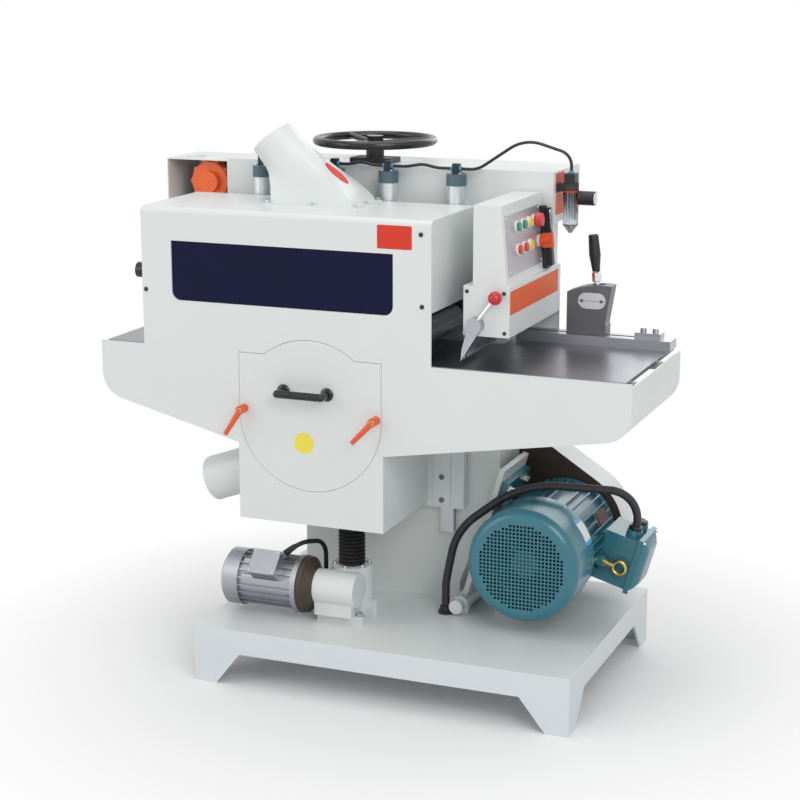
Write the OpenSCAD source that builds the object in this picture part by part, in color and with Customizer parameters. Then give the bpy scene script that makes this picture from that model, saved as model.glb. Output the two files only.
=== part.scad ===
// Multi rip saw: a column machine with a rising table, a saw spindle along Y and a roller feed head.
// X runs along the feed, with the in-feed end at +X. Y runs from the operator's side to the back.
// The origin is on the floor under the middle of the base.

/* [Base] */
// Width of the base along the feed
base_w = 1012; // [960:1:1100]
// Depth of the base
base_d = 724; // [710:1:820]
// Height of the base
base_h = 150; // [130:1:160]
// Thickness of the base's top plate
base_plate_t = 12; // [8:1:20]
// Thickness of the base's skirt
skirt_t = 6; // [4:1:10]
// Width of a leg at the floor
leg_foot_w = 60; // [40:1:100]
// Width of a leg under the skirt
leg_top_w = 128; // [105:1:180]
// Height of the skirt between the legs
skirt_band = 64; // [40:1:90]

/* [Column] */
// Left side of the column
col_x0 = -390; // [-400:1:-370]
// Right side of the column
col_x1 = 170; // [155:1:172]
// Front face of the column
col_y0 = 86; // [84:1:90]
// Depth of the column
col_d = 160; // [150:1:161]
// Wall of the column
col_wall = 14; // [8:1:20]
// Top of the column
col_top = 1150; // [1130:1:1152]
// Set-back of the neck above the table
neck_back = 48; // [47:1:60]
// Height at which the neck starts
neck_z = 846; // [840:1:850]

/* [Table] */
// Height of the table's top face
table_z = 860; // [858:1:863]
// Thickness of the table plate
table_t = 10; // [8:1:16]
// Reach of the table on the out-feed side, from the spindle
out_reach = 578; // [540:1:600]
// Reach of the table on the in-feed side, from the spindle
in_reach = 815; // [790:1:830]
// Gap between the table plate and the outside of its end walls
apron_gap = 17; // [8:1:30]
// Thickness of the sheet metal
sheet_t = 4; // [2:0.5:5]
// Outer face of the front panel
front_y = -252; // [-265:1:-248]
// Height of a wing's lower edge at its end
wing_end_z = 720; // [690:1:760]
// Height of a wing's lower edge at the dust box
wing_root_z = 620; // [590:1:650]
// Radius of a wing's lower corner
wing_r = 70; // [40:1:80]

/* [Dust box and hood] */
// Width of the lower dust box
box_w = 400; // [396:1:420]
// Underside of the lower dust box
box_z0 = 420; // [405:1:440]
// Left side of the hood
hood_x0 = -690; // [-720:1:-640]
// Right side of the hood
hood_x1 = 105; // [85:1:115]
// Top of the hood
hood_top = 1216; // [1190:1:1240]
// Back edge of the hood
hood_y1 = 60; // [54:1:61]
// Lower edge of the hood's side walls
hood_side_z = 991; // [980:1:1010]
// Bend radius along the hood's top front edge
hood_r = 14; // [6:1:24]
// Left end of the window
window_x0 = -605; // [-640:1:-560]
// Width of the window
window_w = 610; // [500:1:640]
// Lower edge of the window
window_z0 = 978; // [960:1:1000]
// Height of the window
window_h = 153; // [100:1:170]
// Radius of the window's lower corners
window_r = 24; // [8:1:40]
// Outer radius of the two dust ports
port_r = 60; // [50:1:64]
// Wall of the dust ports
port_wall = 3; // [2:0.5:5]

/* [Door] */
// Radius of the door's round lower end
door_r = 195; // [180:1:197]
// Gap round the door
door_gap = 1.2; // [0.8:0.1:2]
// Distance of the clamp levers from the door's middle
clamp_off = 182; // [150:1:182]
// Height of the clamp levers above the spindle
clamp_rise = 7; // [0:1:20]
// Length of a clamp lever
clamp_len = 74; // [50:1:90]
// Distance between the feet of the bridge handle
handle_pitch = 120; // [90:1:160]

/* [Spindle] */
// Place of the spindle along the feed
spindle_x = -222; // [-230:1:-214]
// Height of the spindle
spindle_z = 705; // [700:1:706]
// Radius of the saw blades
blade_r = 152; // [120:1:153]
// Number of saw blades
blade_n = 5; // [2:1:5]
// Distance between the blades
blade_pitch = 28; // [20:1:29]
// Thickness of a blade
blade_t = 3.2; // [2:0.2:5]
// Radius of the spindle
spindle_r = 30; // [24:1:34]
// Radius of the spindle housing
housing_r = 65; // [56:1:68]

/* [Main motor and belts] */
// Place of the main motor's shaft along the feed
motor_x = 309; // [300:1:330]
// Height of the main motor's shaft above the base
motor_rise = 190; // [186:1:200]
// Front face of the fan cover
motor_y0 = -150; // [-170:1:-140]
// Radius of the fan cover
fan_r = 147; // [142:1:149]
// Length of the fan cover
fan_len = 150; // [135:1:155]
// Tilt of the motor's feet
motor_tilt = 16; // [15:1:17]
// Shaft height above the motor's feet
foot_h = 150; // [149:1:153]
// Length of the motor with its fan cover
motor_len = 395; // [385:1:396]
// Radius of the motor's shaft
shaft_r = 19; // [14:1:24]
// Radius of the spindle pulley
spindle_pulley_r = 70; // [55:1:90]
// Radius of the motor pulley
motor_pulley_r = 90; // [70:1:110]
// Number of belts
belt_n = 4; // [2:1:4]
// Distance between the belts
belt_pitch = 16; // [15:1:18]
// Space between the pulleys and the guard's wall
guard_space = 62; // [40:1:68]

/* [Table lift] */
// Place of the jack screw along the feed
jack_x = -165; // [-180:1:-150]
// Place of the jack screw from front to back
jack_y = -120; // [-130:1:-110]
// Radius of the jack screw
jack_r = 20; // [14:1:24]
// Distance from the jack screw to the worm
worm_off = 75; // [70:1:85]
// Height of the worm's axis above the base
worm_rise = 90; // [86:1:100]
// Radius of the lift motor
lift_r = 74; // [60:1:78]
// Length of the lift motor
lift_len = 216; // [190:1:240]
// Height of the jack gearbox
jack_h = 136; // [130:1:150]
// Radius of the bellows
bellows_r = 36; // [31:1:40]
// Folds of the bellows
bellows_n = 12; // [6:1:16]

/* [Feed head] */
// Left end of the beam
beam_x0 = -631; // [-660:1:-600]
// Right end of the beam
beam_x1 = 292; // [286:1:310]
// Front face of the beam
beam_y0 = 120; // [118:1:124]
// Depth of the beam
beam_d = 225; // [200:1:240]
// Underside of the beam
beam_z0 = 1172; // [1170:1:1190]
// Height of the beam
beam_h = 130; // [115:1:150]
// Wall of the beam
beam_wall = 6; // [4:1:10]
// Length of the feed drive
drive_len = 206; // [190:1:220]
// Height of the feed drive
drive_h = 120; // [100:1:130]
// Radius of the air cylinders
cyl_r = 23; // [20:1:24]
// Radius of the feed rollers
roller_r = 38; // [30:1:40]
// Length of the feed rollers
roller_len = 240; // [200:1:250]
// Gap between the rollers and the table
roller_gap = 30; // [28:1:40]
// Outer radius of the hand wheel
wheel_r = 165; // [130:1:170]
// Radius of the hand wheel's rim
rim_r = 11; // [8:1:14]

/* [In-feed and controls] */
// Left side of the in-feed box
infeed_x0 = 167; // [150:1:172]
// Right side of the in-feed box
infeed_x1 = 285; // [280:1:290]
// Front face of the in-feed box
infeed_y0 = -195; // [-210:1:-185]
// Back of the in-feed box
infeed_y1 = 215; // [205:1:230]
// Underside of the in-feed box
infeed_z0 = 933; // [925:1:940]
// Top of the in-feed box
infeed_z1 = 1056; // [1040:1:1070]
// Depth of the control box
control_d = 307; // [290:1:308]
// Height of the control box
control_h = 196; // [180:1:220]
// Lean of the operator panel
panel_lean = 5; // [0:1:10]
// Radius of the push buttons
button_r = 11; // [8:0.5:12]
// Travel of the push buttons
button_travel = 4; // [3:0.5:5]

/* [Fence] */
// Right end of the fence rail
rail_x1 = 600; // [590:1:640]
// Front face of the fence rail
rail_y0 = 142; // [136:1:150]
// Width of the fence rail
rail_w = 65; // [60:1:75]
// Height of the fence rail
rail_h = 25; // [22:1:32]
// Width of the fence carriage
carriage_w = 113; // [100:1:127]
// Height of the fence carriage
carriage_h = 130; // [100:1:150]

/* [Hidden] */
$fn = 64;

// Paint and metal colours
paint = "#DDE1E0";
skirt_paint = "#D0D5DB";
teal = "#3F7F8E";
steel = "#A9A9AF";
dark_steel = "#5F6670";
black = "#1C1C1F";
orange = "#E2592F";
silver = "#B9BCC2";
red = "#C8333A";

// Heights that follow the base
motor_z = base_h + motor_rise;
worm_z = base_h + worm_rise;
jack_top = base_h + jack_h;

// Clearances shared by the fits
run = 0.05;
slide = 0.1;
touch = 0.3;
over = 1;

module box(x, y, z) {
    translate([x[0], y[0], z[0]])
        cube([x[1] - x[0], y[1] - y[0], z[1] - z[0]]);
}

module along_x(y, z, x, r) {
    translate([x[0], y, z])
        rotate([0, 90, 0])
            cylinder(h = x[1] - x[0], r = r);
}

module along_y(x, z, y, r) {
    translate([x, y[0], z])
        rotate([-90, 0, 0])
            cylinder(h = y[1] - y[0], r = r);
}

module along_z(x, y, z, r) {
    translate([x, y, z[0]])
        cylinder(h = z[1] - z[0], r = r);
}

// A flat outline in X and Z, made into a sheet from y[0] to y[1]
module sheet_xz(y) {
    translate([0, y[1], 0])
        rotate([90, 0, 0])
            linear_extrude(y[1] - y[0])
                children();
}

// A flat outline of Y and Z, made into a bar from x[0] to x[1]
module bar_yz(x) {
    translate([x[0], 0, 0])
        rotate([90, 0, 90])
            linear_extrude(x[1] - x[0])
                children();
}

function arc(cx, cy, r, a0, a1, n = 12) =
    [for (i = [0 : n]) [cx + r * cos(a0 + (a1 - a0) * i / n), cy + r * sin(a0 + (a1 - a0) * i / n)]];

// Base
module base_skirt(len) {
    h = base_h - base_plate_t / 2;
    foot = len / 2 - leg_foot_w;
    top = len / 2 - leg_top_w;
    z = base_h - skirt_band;
    polygon([[-len / 2, 0], [-foot, 0], [-top, z], [top, z], [foot, 0], [len / 2, 0], [len / 2, h],
        [-len / 2, h]]);
}

module base_frame() {
    color(skirt_paint) {
        box([-base_w / 2, base_w / 2], [-base_d / 2, base_d / 2], [base_h - base_plate_t, base_h]);
        for (y = [-base_d / 2, base_d / 2 - skirt_t])
            sheet_xz([y, y + skirt_t]) base_skirt(base_w);
        for (x = [-base_w / 2, base_w / 2 - skirt_t])
            bar_yz([x, x + skirt_t]) base_skirt(base_d);
    }
}

// Column and its guides
col_y1 = col_y0 + col_d;
neck_y0 = col_y0 + neck_back;
col_step_x = 60;
col_step_z = [base_h + 50, base_h + 340];
post_r = 25;
post_y = 180;
post_top = 1260;
post_x = [spindle_x - 150, spindle_x + 150];
lift_screw_r = 14;
lift_nut_r = 30;
lift_nut_t = 14;

module column() {
    lean = atan2(col_x1 - col_step_x, col_step_z[1] - col_step_z[0]);
    in_z0 = col_step_z[0] + col_wall * (1 - cos(lean)) / sin(lean);
    in_z1 = col_step_z[0] + (col_wall + (col_x1 - col_wall - col_step_x) * cos(lean)) / sin(lean);
    color(paint)
        difference() {
            union() {
                sheet_xz([col_y0, col_y1])
                    polygon([[col_x0, base_h], [col_step_x, base_h], [col_step_x, col_step_z[0]],
                        [col_x1, col_step_z[1]], [col_x1, neck_z], [col_x0, neck_z]]);
                box([col_x0, col_x1], [neck_y0, col_y1], [neck_z - over, col_top]);
                for (x = post_x)
                    along_z(x, post_y, [col_top - col_wall, post_top], post_r);
                along_z(spindle_x, post_y, [col_top - col_wall, col_top + lift_nut_t], lift_nut_r);
            }
            sheet_xz([col_y0 + col_wall, col_y1 - col_wall])
                polygon([[col_x0 + col_wall, base_h + col_wall], [col_step_x - col_wall, base_h + col_wall],
                    [col_step_x - col_wall, in_z0], [col_x1 - col_wall, in_z1],
                    [col_x1 - col_wall, neck_z - col_wall], [col_x0 + col_wall, neck_z - col_wall]]);
            box([col_x0 + col_wall, col_x1 - col_wall], [neck_y0 + col_wall, col_y1 - col_wall],
                [neck_z - col_wall - over, col_top - col_wall]);
            along_y(spindle_x, spindle_z, [col_y0 - over, col_y1 + over], housing_r + run);
            along_z(spindle_x, post_y, [col_top - 2 * col_wall, col_top + 2 * lift_nut_t], lift_screw_r + run);
        }
}

guide_w = 36;
guide_t = 20;
guide_x = [-335, 30];
saddle_z0 = 410;
saddle_z1 = table_z - table_t - 12;
table_down = 60;
table_up = 3;
saddle_y1 = col_y0 - 2;
saddle_y0 = saddle_y1 - guide_t - 8;
saddle_x = [-385, 80];

module column_guides() {
    color(steel)
        for (x = guide_x)
            box([x - guide_w / 2, x + guide_w / 2], [col_y0 - guide_t, col_y0],
                [saddle_z0 - table_down - 10, under_z - table_down - 2]);
}

// Screw jack, its motor and cable
worm_y = jack_y - worm_off;
gear_r = 56;
wheel_t = 44;
wheel_outer = 44;
worm_house_r = 46;
jack_base_h = 22;
jack_flange_t = 16;
worm_x0 = jack_x - 62;
worm_x1 = jack_x + 62;
flange_len = 36;
lift_x1 = worm_x0 - flange_len;
lift_x0 = lift_x1 - lift_len;

module jack_gearbox() {
    color(paint)
        difference() {
            union() {
                box([worm_x0, worm_x1 + 4], [worm_y - 12, jack_y + 76], [base_h, base_h + jack_base_h]);
                along_z(jack_x, jack_y, [base_h + jack_base_h - over, jack_top - jack_flange_t], gear_r);
                along_z(jack_x, jack_y, [jack_top - jack_flange_t - over, jack_top], gear_r - 2);
                along_x(worm_y, worm_z, [worm_x0, worm_x1 - 10], worm_house_r);
                box([worm_x0, worm_x1 - 20], [worm_y - 30, jack_y], [base_h + jack_base_h - over, worm_z]);
                box([jack_x + 30, jack_x + 74], [jack_y - 10, jack_y + 60], [base_h, base_h + 2 * jack_base_h]);
            }
            along_z(jack_x, jack_y, [worm_z - wheel_t / 2 - touch, worm_z + wheel_t / 2 + touch],
                wheel_outer + touch);
            along_z(jack_x, jack_y, [base_h - over, jack_top + over], jack_r + 4);
        }
}

// Worm wheel with the jack's nut in its bore
module jack_worm_wheel() {
    teeth = 30;
    color("#B08D57")
        difference() {
            along_z(jack_x, jack_y, [worm_z - wheel_t / 2, worm_z + wheel_t / 2], wheel_outer);
            along_z(jack_x, jack_y, [worm_z - wheel_t, worm_z + wheel_t], jack_r + slide);
            for (i = [0 : teeth - 1])
                translate([jack_x, jack_y, worm_z])
                    rotate([0, 0, 360 * i / teeth])
                        translate([wheel_outer - 3, -1.6, -wheel_t / 3])
                            cube([4, 3.2, wheel_t * 2 / 3]);
        }
}

module lift_motor() {
    fin_n = 22;
    cover_len = 50;
    color(silver) {
        along_x(worm_y, worm_z, [lift_x0 + cover_len - over, lift_x1], lift_r - 10);
        along_x(worm_y, worm_z, [lift_x0 + 8, lift_x0 + cover_len], lift_r);
        translate([lift_x0, worm_y, worm_z])
            rotate([0, 90, 0])
                cylinder(h = 8 + 0.01, r1 = lift_r - 10, r2 = lift_r);
        for (i = [0 : fin_n - 1])
            if (abs(i - 18) > 2)
                translate([0, worm_y, worm_z])
                    rotate([360 * i / fin_n, 0, 0])
                        box([lift_x0 + cover_len, lift_x1 - 14], [lift_r - 12, lift_r - 2], [-1.5, 1.5]);
        along_x(worm_y, worm_z, [lift_x1 - 14, lift_x1], lift_r + 2);
        translate([0, worm_y, worm_z])
            rotate([45, 0, 0]) {
                box([lift_x0 + 95, lift_x0 + 165], [-32, 32], [lift_r - 20, lift_r + 22]);
                box([lift_x0 + 92, lift_x0 + 168], [-35, 35], [lift_r + 22, lift_r + 28]);
            }
        lift_gland();
    }
    color("#4A3F38") {
        along_x(worm_y, worm_z, [lift_x1 - 0.01, lift_x1 + 14], lift_r - 1);
        translate([lift_x1 + 14 - 0.01, worm_y, worm_z])
            rotate([0, 90, 0])
                cylinder(h = flange_len - 14 + 0.01, r1 = lift_r - 4, r2 = worm_house_r);
    }
}

lift_gland_at = [lift_x0 + 145, worm_y - 20, worm_z + 60];
lift_gland_len = 34;
lift_gland_lean = 45;
lift_out = [sin(lift_gland_lean), 0, cos(lift_gland_lean)];
lift_mouth = lift_gland_at + (lift_gland_len + touch) * lift_out;

module lift_gland() {
    translate(lift_gland_at)
        rotate([0, lift_gland_lean, 0])
            cylinder(h = lift_gland_len, r = 10);
}

// One tube swept along route points, as a closed faceted skin
function unit(v) = v / norm(v);
function tangent(p, i) = unit(p[min(i + 1, len(p) - 1)] - p[max(i - 1, 0)]);
function side_of(t, hint) = unit(cross(t, hint));
function ring_of(c, t, hint, r, n) =
    let (u = side_of(t, hint), v = cross(t, u))
    [for (k = [0 : n - 1]) c + r * (cos(360 * k / n) * u + sin(360 * k / n) * v)];

module skin(rings, n) {
    m = len(rings);
    points = [for (q = rings) each q];
    walls = [for (i = [0 : m - 2], k = [0 : n - 1], h = [0, 1])
        let (a = i * n + k, b = i * n + (k + 1) % n)
        h == 0 ? [a, a + n, b] : [b, a + n, b + n]];
    first = [for (k = [1 : n - 2]) [0, k, k + 1]];
    last = [for (k = [1 : n - 2]) [(m - 1) * n, (m - 1) * n + k + 1, (m - 1) * n + k]];
    polyhedron(points = points, faces = concat(walls, first, last));
}

// A hollow skin: rings out along the outside and back along the inside
module pipe_skin(rings, n) {
    count = len(rings);
    polyhedron(points = [for (q = rings) each q], faces = [for (i = [0 : count - 1], k = [0 : n - 1], h = [0, 1])
        let (j = (i + 1) % count, a = i * n + k, b = i * n + (k + 1) % n, c = j * n + k, d = j * n + (k + 1) % n)
        h == 0 ? [a, c, b] : [b, c, d]]);
}

module tube(path, r, hint, n = 8) {
    skin([for (i = [0 : len(path) - 1]) ring_of(path[i], tangent(path, i), hint, r, n)], n);
}

// Points of a route whose corners are rounded, each to its own bend radius
function bend(a, b, c, r) =
    let (u = unit(a - b), v = unit(c - b), h = acos(u * v) / 2, mid = b + r / sin(h) * unit(u + v),
        e = (b + r / tan(h) * u - mid) / r, turn = 180 - 2 * h, n = max(2, ceil(turn * r / 1200)))
    [for (k = [0 : n]) mid + r * (cos(turn * k / n) * e - sin(turn * k / n) * u)];

function rounded(p, r) = concat([p[0]], [for (i = [1 : len(p) - 2]) each bend(p[i - 1], p[i], p[i + 1], r[i - 1])],
    [p[len(p) - 1]]);

lift_cable_r = 6;
lift_cable_route = rounded([lift_mouth, lift_mouth + 48 * lift_out, [jack_x - 81, jack_y + 14, worm_z + 95],
    [jack_x - 81, jack_y + 14, base_h]], [48, 48]);

module lift_motor_cable() {
    color(black)
        tube(lift_cable_route, lift_cable_r, [0, 0, 1]);
}

// Main motor, drawn upright about its shaft and then turned to its tilt
motor_y1 = motor_y0 + motor_len;
body_y0 = motor_y0 + fan_len;
body_r = fan_r - 23;
bore_r = 54;
foot_x = [80, 134];
foot_y = [body_y0 + 15, body_y0 + 195];
foot_t = 18;
plate_t = 14;
plate_top = foot_x[1] + 32;
tb_y = [motor_y1 - 127, motor_y1 - 3];
tb_x = [-80, 58];
tb_z = [body_r + 4, body_r + 96];
eye_y = tb_y[0] - 18;
hinge_off = 218;
hinge_r = 16;
knuckle_r = 23;

module motor_frame() {
    translate([motor_x, 0, motor_z])
        rotate([0, 90 + motor_tilt, 0])
            children();
}

module main_motor_housing() {
    fin_n = 40;
    color(teal)
        motor_frame()
            difference() {
                union() {
                    along_y(0, 0, [body_y0, motor_y1 - 24], body_r);
                    along_y(0, 0, [motor_y1 - 24 - 0.01, motor_y1], body_r + 8);
                    for (i = [0 : fin_n - 1])
                        if (abs((i * 360 / fin_n + 45) % 90 - 45) > 3)
                            rotate([0, 360 * i / fin_n, 0])
                                box([body_r - 3, fan_r - 6], [body_y0 + 4, motor_y1 - 26], [-1.8, 1.8]);
                    intersection() {
                        for (a = [45 : 90 : 315])
                            rotate([0, a, 0])
                                box([body_r - 3, fan_r], [body_y0 - 10, body_y0 + 4], [-9, 9]);
                        along_y(0, 0, [body_y0 - 11, body_y0 + 5], fan_r - cover_t - run);
                    }
                    for (s = [-1, 1]) {
                        box([min(s * foot_x[0], s * foot_x[1]), max(s * foot_x[0], s * foot_x[1])], foot_y,
                            [-foot_h, -foot_h + foot_t]);
                        for (y = [foot_y[0] + 8, foot_y[1] - 22])
                            box([min(s * 62, s * 88), max(s * 62, s * 88)], [y, y + 14],
                                [-foot_h + foot_t - over, -60]);
                    }
                    box([tb_x[0] + 12, tb_x[1] - 8], [tb_y[0] + 8, tb_y[1] - 8], [body_r - 40, tb_z[0]]);
                    along_z(0, eye_y, [body_r - 6, fan_r + 4], 16);
                }
                along_y(0, 0, [body_y0 + 22, motor_y1 - 24], bore_r + 0.6);
                box([tb_x[0] - 1, tb_x[1] + 1], [tb_y[0] - 1, tb_y[1] + 1], [tb_z[0], tb_z[1]]);
                along_y(0, 0, [body_y0 - over, motor_y1 + over], shaft_r + run);
            }
}

// Fan cover: a pressed bowl whose front face is pierced by square holes
grille_r = 114;
grille_pitch = 15;
grille_hole = 10;
cover_t = 2.5;
cover_r = 26;

module fan_cover() {
    reach = floor(grille_r / grille_pitch);
    color(teal)
        difference() {
            translate([motor_x, motor_y0, motor_z])
                rotate([-90, 0, 0])
                    rotate_extrude()
                        polygon(concat([[0, 0]], arc(fan_r - cover_r, cover_r, cover_r, -90, 0),
                            [[fan_r, fan_len], [fan_r - cover_t, fan_len]],
                            arc(fan_r - cover_r, cover_r, cover_r - cover_t, 0, -90), [[0, cover_t]]));
            for (i = [-reach : reach], j = [-reach : reach])
                if (norm([i, j]) * grille_pitch < grille_r - grille_hole * 0.8)
                    translate([motor_x + i * grille_pitch, motor_y0, motor_z + j * grille_pitch])
                        cube([grille_hole, 4 * cover_t, grille_hole], center = true);
        }
}

gland_y = [tb_y[0] + 32, tb_y[1] - 32];
gland_z = tb_z[1] - 26;
gland_r = 20;
gland_bore = 12;
gland_len = 18;

// Terminal box with its two glands, and the lifting eye in front of it
module main_terminal_box() {
    color(teal)
        motor_frame()
            difference() {
                union() {
                    box(tb_x, tb_y, tb_z);
                    box([tb_x[0] - 7, tb_x[1] + 7], [tb_y[0] - 7, tb_y[1] + 7], [tb_z[1] - over, tb_z[1] + 12]);
                    for (y = gland_y)
                        along_x(y, gland_z, [tb_x[0] - gland_len, tb_x[0] + over], gland_r);
                    translate([0, eye_y, fan_r + 4])
                        cylinder(h = 8, r = 12);
                    translate([0, eye_y, fan_r + 11])
                        cylinder(h = 20, r = 7);
                    translate([0, eye_y, fan_r + 46])
                        rotate([90, 0, 0])
                            rotate_extrude()
                                translate([17, 0])
                                    circle(r = 5);
                }
                for (y = gland_y)
                    along_x(y, gland_z, [tb_x[0] - gland_len - over, tb_x[0] + 4], gland_bore);
            }
}

module motor_plate() {
    y = [foot_y[0] - 10, foot_y[1] + 8];
    color(paint)
        motor_frame()
            difference() {
                union() {
                    box([-plate_top, hinge_off], y, [-foot_h - plate_t, -foot_h]);
                    along_y(hinge_off, -foot_h - plate_t / 2, y, knuckle_r);
                }
                along_y(hinge_off, -foot_h - plate_t / 2, [y[0] - over, y[1] + over], hinge_r + run);
            }
}

pin_y = [foot_y[0] - 59, foot_y[1] + 34];

hinge_px = motor_x + hinge_off * cos(90 + motor_tilt) + (-foot_h - plate_t / 2) * sin(90 + motor_tilt);
hinge_pz = motor_z - hinge_off * sin(90 + motor_tilt) + (-foot_h - plate_t / 2) * cos(90 + motor_tilt);

// Two brackets on the base with the pin that carries the motor plate
module motor_hinge() {
    color(paint) {
        for (y = [foot_y[0] - 34, foot_y[1] + 10]) {
            box([hinge_px - knuckle_r, hinge_px + knuckle_r], [y, y + 22], [base_h, hinge_pz]);
            along_y(hinge_px, hinge_pz, [y, y + 22], knuckle_r);
        }
        along_y(hinge_px, hinge_pz, pin_y, hinge_r);
    }
}

// Conduit from the terminal box over the motor and down to the base
conduit_r = 11;
conduit_bore = 8;
gland_out = [-cos(90 + motor_tilt), 0, sin(90 + motor_tilt)];
gland_face = [motor_x + gland_z * sin(90 + motor_tilt), gland_y[0], motor_z + gland_z * cos(90 + motor_tilt)]
    + (gland_len - tb_x[0]) * gland_out;
conduit_route = rounded([gland_face, gland_face + 105 * gland_out, [motor_x - 39, -25, motor_z + 184],
    [motor_x - 217, -30, motor_z + 40], [motor_x - 245, -30, base_h + 85], [motor_x - 245, -30, base_h]],
    [92, 200, 180, 200]);

module main_motor_conduit() {
    m = len(conduit_route);
    outside = [for (i = [0 : m - 1])
        ring_of(conduit_route[i], tangent(conduit_route, i), [0, 1, 0], conduit_r, 8)];
    bore = [for (i = [m - 1 : -1 : 0])
        ring_of(conduit_route[i], tangent(conduit_route, i), [0, 1, 0], conduit_bore, 8)];
    color(black)
        pipe_skin(concat(outside, bore), 8);
}

// Belt drive behind the column
belt_y0 = col_y1 + 24;
belt_w = 11;
belt_t = 8;
pulley_w = belt_pitch * belt_n + 6;
guard_y = [col_y1 + 6, belt_y0 + pulley_w + 14];
guard_t = 3;

// Outline round both pulleys, at a distance from each pulley's centre
module belt_loop(r1, r2) {
    d = [motor_x - spindle_x, motor_z - spindle_z];
    run_len = norm(d);
    turn = atan2(d[1], d[0]);
    lean = asin((r1 - r2) / run_len);
    reach = 90 - lean;
    translate([spindle_x, spindle_z])
        polygon(concat(arc(0, 0, r1, turn + reach, turn + 360 - reach, 40),
            arc(d[0], d[1], r2, turn - reach, turn + reach, 40)));
}

module belt_guard() {
    r1 = spindle_pulley_r + guard_space;
    r2 = motor_pulley_r + guard_space;
    color(paint)
        difference() {
            union() {
                sheet_xz(guard_y) belt_loop(r1, r2);
                for (a = [0, 90, 180, 270])
                    along_y(spindle_x + (housing_r + 22) * cos(a + 45), spindle_z + (housing_r + 22) * sin(a + 45),
                        [col_y1, guard_y[0] + over], 10);
            }
            sheet_xz([guard_y[0] + guard_t, guard_y[1] - guard_t]) belt_loop(r1 - guard_t, r2 - guard_t);
            along_y(spindle_x, spindle_z, [guard_y[0] - over, guard_y[0] + 2 * guard_t], housing_r + 4);
            along_y(motor_x, motor_z, [guard_y[0] - over, guard_y[0] + 2 * guard_t], shaft_r + 14);
        }
}

function belt_y(i) = belt_y0 + 3 + belt_pitch * (i + 0.5);

module drive_belts() {
    color(black)
        for (i = [0 : belt_n - 1])
            sheet_xz([belt_y(i) - belt_w / 2, belt_y(i) + belt_w / 2])
                difference() {
                    belt_loop(spindle_pulley_r + 1, motor_pulley_r + 1);
                    belt_loop(spindle_pulley_r + 1 - belt_t, motor_pulley_r + 1 - belt_t);
                }
}

module pulley(x, z, r, bore) {
    difference() {
        along_y(x, z, [belt_y0, belt_y0 + pulley_w], r);
        for (i = [0 : belt_n - 1])
            difference() {
                along_y(x, z, [belt_y(i) - belt_w / 2 - 0.5, belt_y(i) + belt_w / 2 + 0.5], r + over);
                along_y(x, z, [belt_y(i) - belt_w, belt_y(i) + belt_w], r + 1 - belt_t - touch);
            }
        if (bore > 0)
            along_y(x, z, [belt_y0 - over, belt_y0 + pulley_w + over], bore);
    }
}

// Saw spindle in its housing
nose_y = 10;
housing_y = [nose_y, col_y1 + 8];

module spindle_housing() {
    color(dark_steel)
        difference() {
            along_y(spindle_x, spindle_z, housing_y, housing_r);
            along_y(spindle_x, spindle_z, [housing_y[0] - over, housing_y[1] + over], spindle_r + run);
        }
}

tail_r = spindle_r - 6;
spindle_front = -178;
arbor_y = -8;

module saw_spindle() {
    color(steel) {
        along_y(spindle_x, spindle_z, [spindle_front, housing_y[1]], spindle_r);
        along_y(spindle_x, spindle_z, [arbor_y, arbor_y + 10], spindle_r + 18);
        along_y(spindle_x, spindle_z, [housing_y[1] - over, belt_y0 + pulley_w], tail_r);
        pulley(spindle_x, spindle_z, spindle_pulley_r, 0);
    }
}

function blade_y(i) = -30 - blade_pitch * i;
nut_t = 16;

module saw_blades() {
    teeth = 24;
    last = blade_y(blade_n - 1) - blade_t / 2;
    color("#B4B6BA") {
        for (i = [0 : blade_n - 1])
            translate([spindle_x, blade_y(i) + blade_t / 2, spindle_z])
                rotate([90, 0, 0])
                    linear_extrude(blade_t)
                        difference() {
                            polygon([for (k = [0 : 3 * teeth - 1])
                                let (a = 360 * floor(k / 3) / teeth + [0, 4, 9][k % 3],
                                    r = blade_r - [0, 12, 9][k % 3])
                                [r * cos(a), r * sin(a)]]);
                            circle(r = spindle_r + run);
                        }
        for (i = [0 : blade_n - 1])
            difference() {
                along_y(spindle_x, spindle_z,
                    [blade_y(i) + blade_t / 2, i == 0 ? arbor_y : blade_y(i - 1) - blade_t / 2], spindle_r + 14);
                along_y(spindle_x, spindle_z, [blade_y(i), arbor_y + over], spindle_r + run);
            }
        translate([0, last, 0])
            difference() {
                along_y(spindle_x, spindle_z, [-nut_t, 0], spindle_r + 12);
                along_y(spindle_x, spindle_z, [-nut_t - over, over], spindle_r + run);
            }
    }
}

module motor_rotor() {
    vanes = 5;
    fan_y = [motor_y0 + fan_len / 5, body_y0 - 12];
    color(steel) {
        along_y(motor_x, motor_z, [fan_y[0] + 3, belt_y0 + pulley_w], shaft_r);
        along_y(motor_x, motor_z, [body_y0 + 24, motor_y1 - 64], bore_r);
        along_y(motor_x, motor_z, [fan_y[0], fan_y[1]], 34);
        for (i = [0 : vanes - 1])
            translate([motor_x, 0, motor_z])
                rotate([0, 360 * i / vanes + 15, 0])
                    box([30, fan_r - 35], [fan_y[0] + 6, fan_y[1] - 6], [-2, 2]);
        pulley(motor_x, motor_z, motor_pulley_r, 0);
    }
}

// Table unit
table_x0 = spindle_x - out_reach;
table_x1 = spindle_x + in_reach;
end_x0 = table_x0 - apron_gap;
end_x1 = table_x1 + apron_gap;
inner_y = front_y + sheet_t;
table_y1 = col_y0 - 6;
wing_y1 = rail_y0 + rail_w + 8;
wing_x = col_x1 + 8;
under_z = table_z - table_t;
slot_x = 132;

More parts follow.
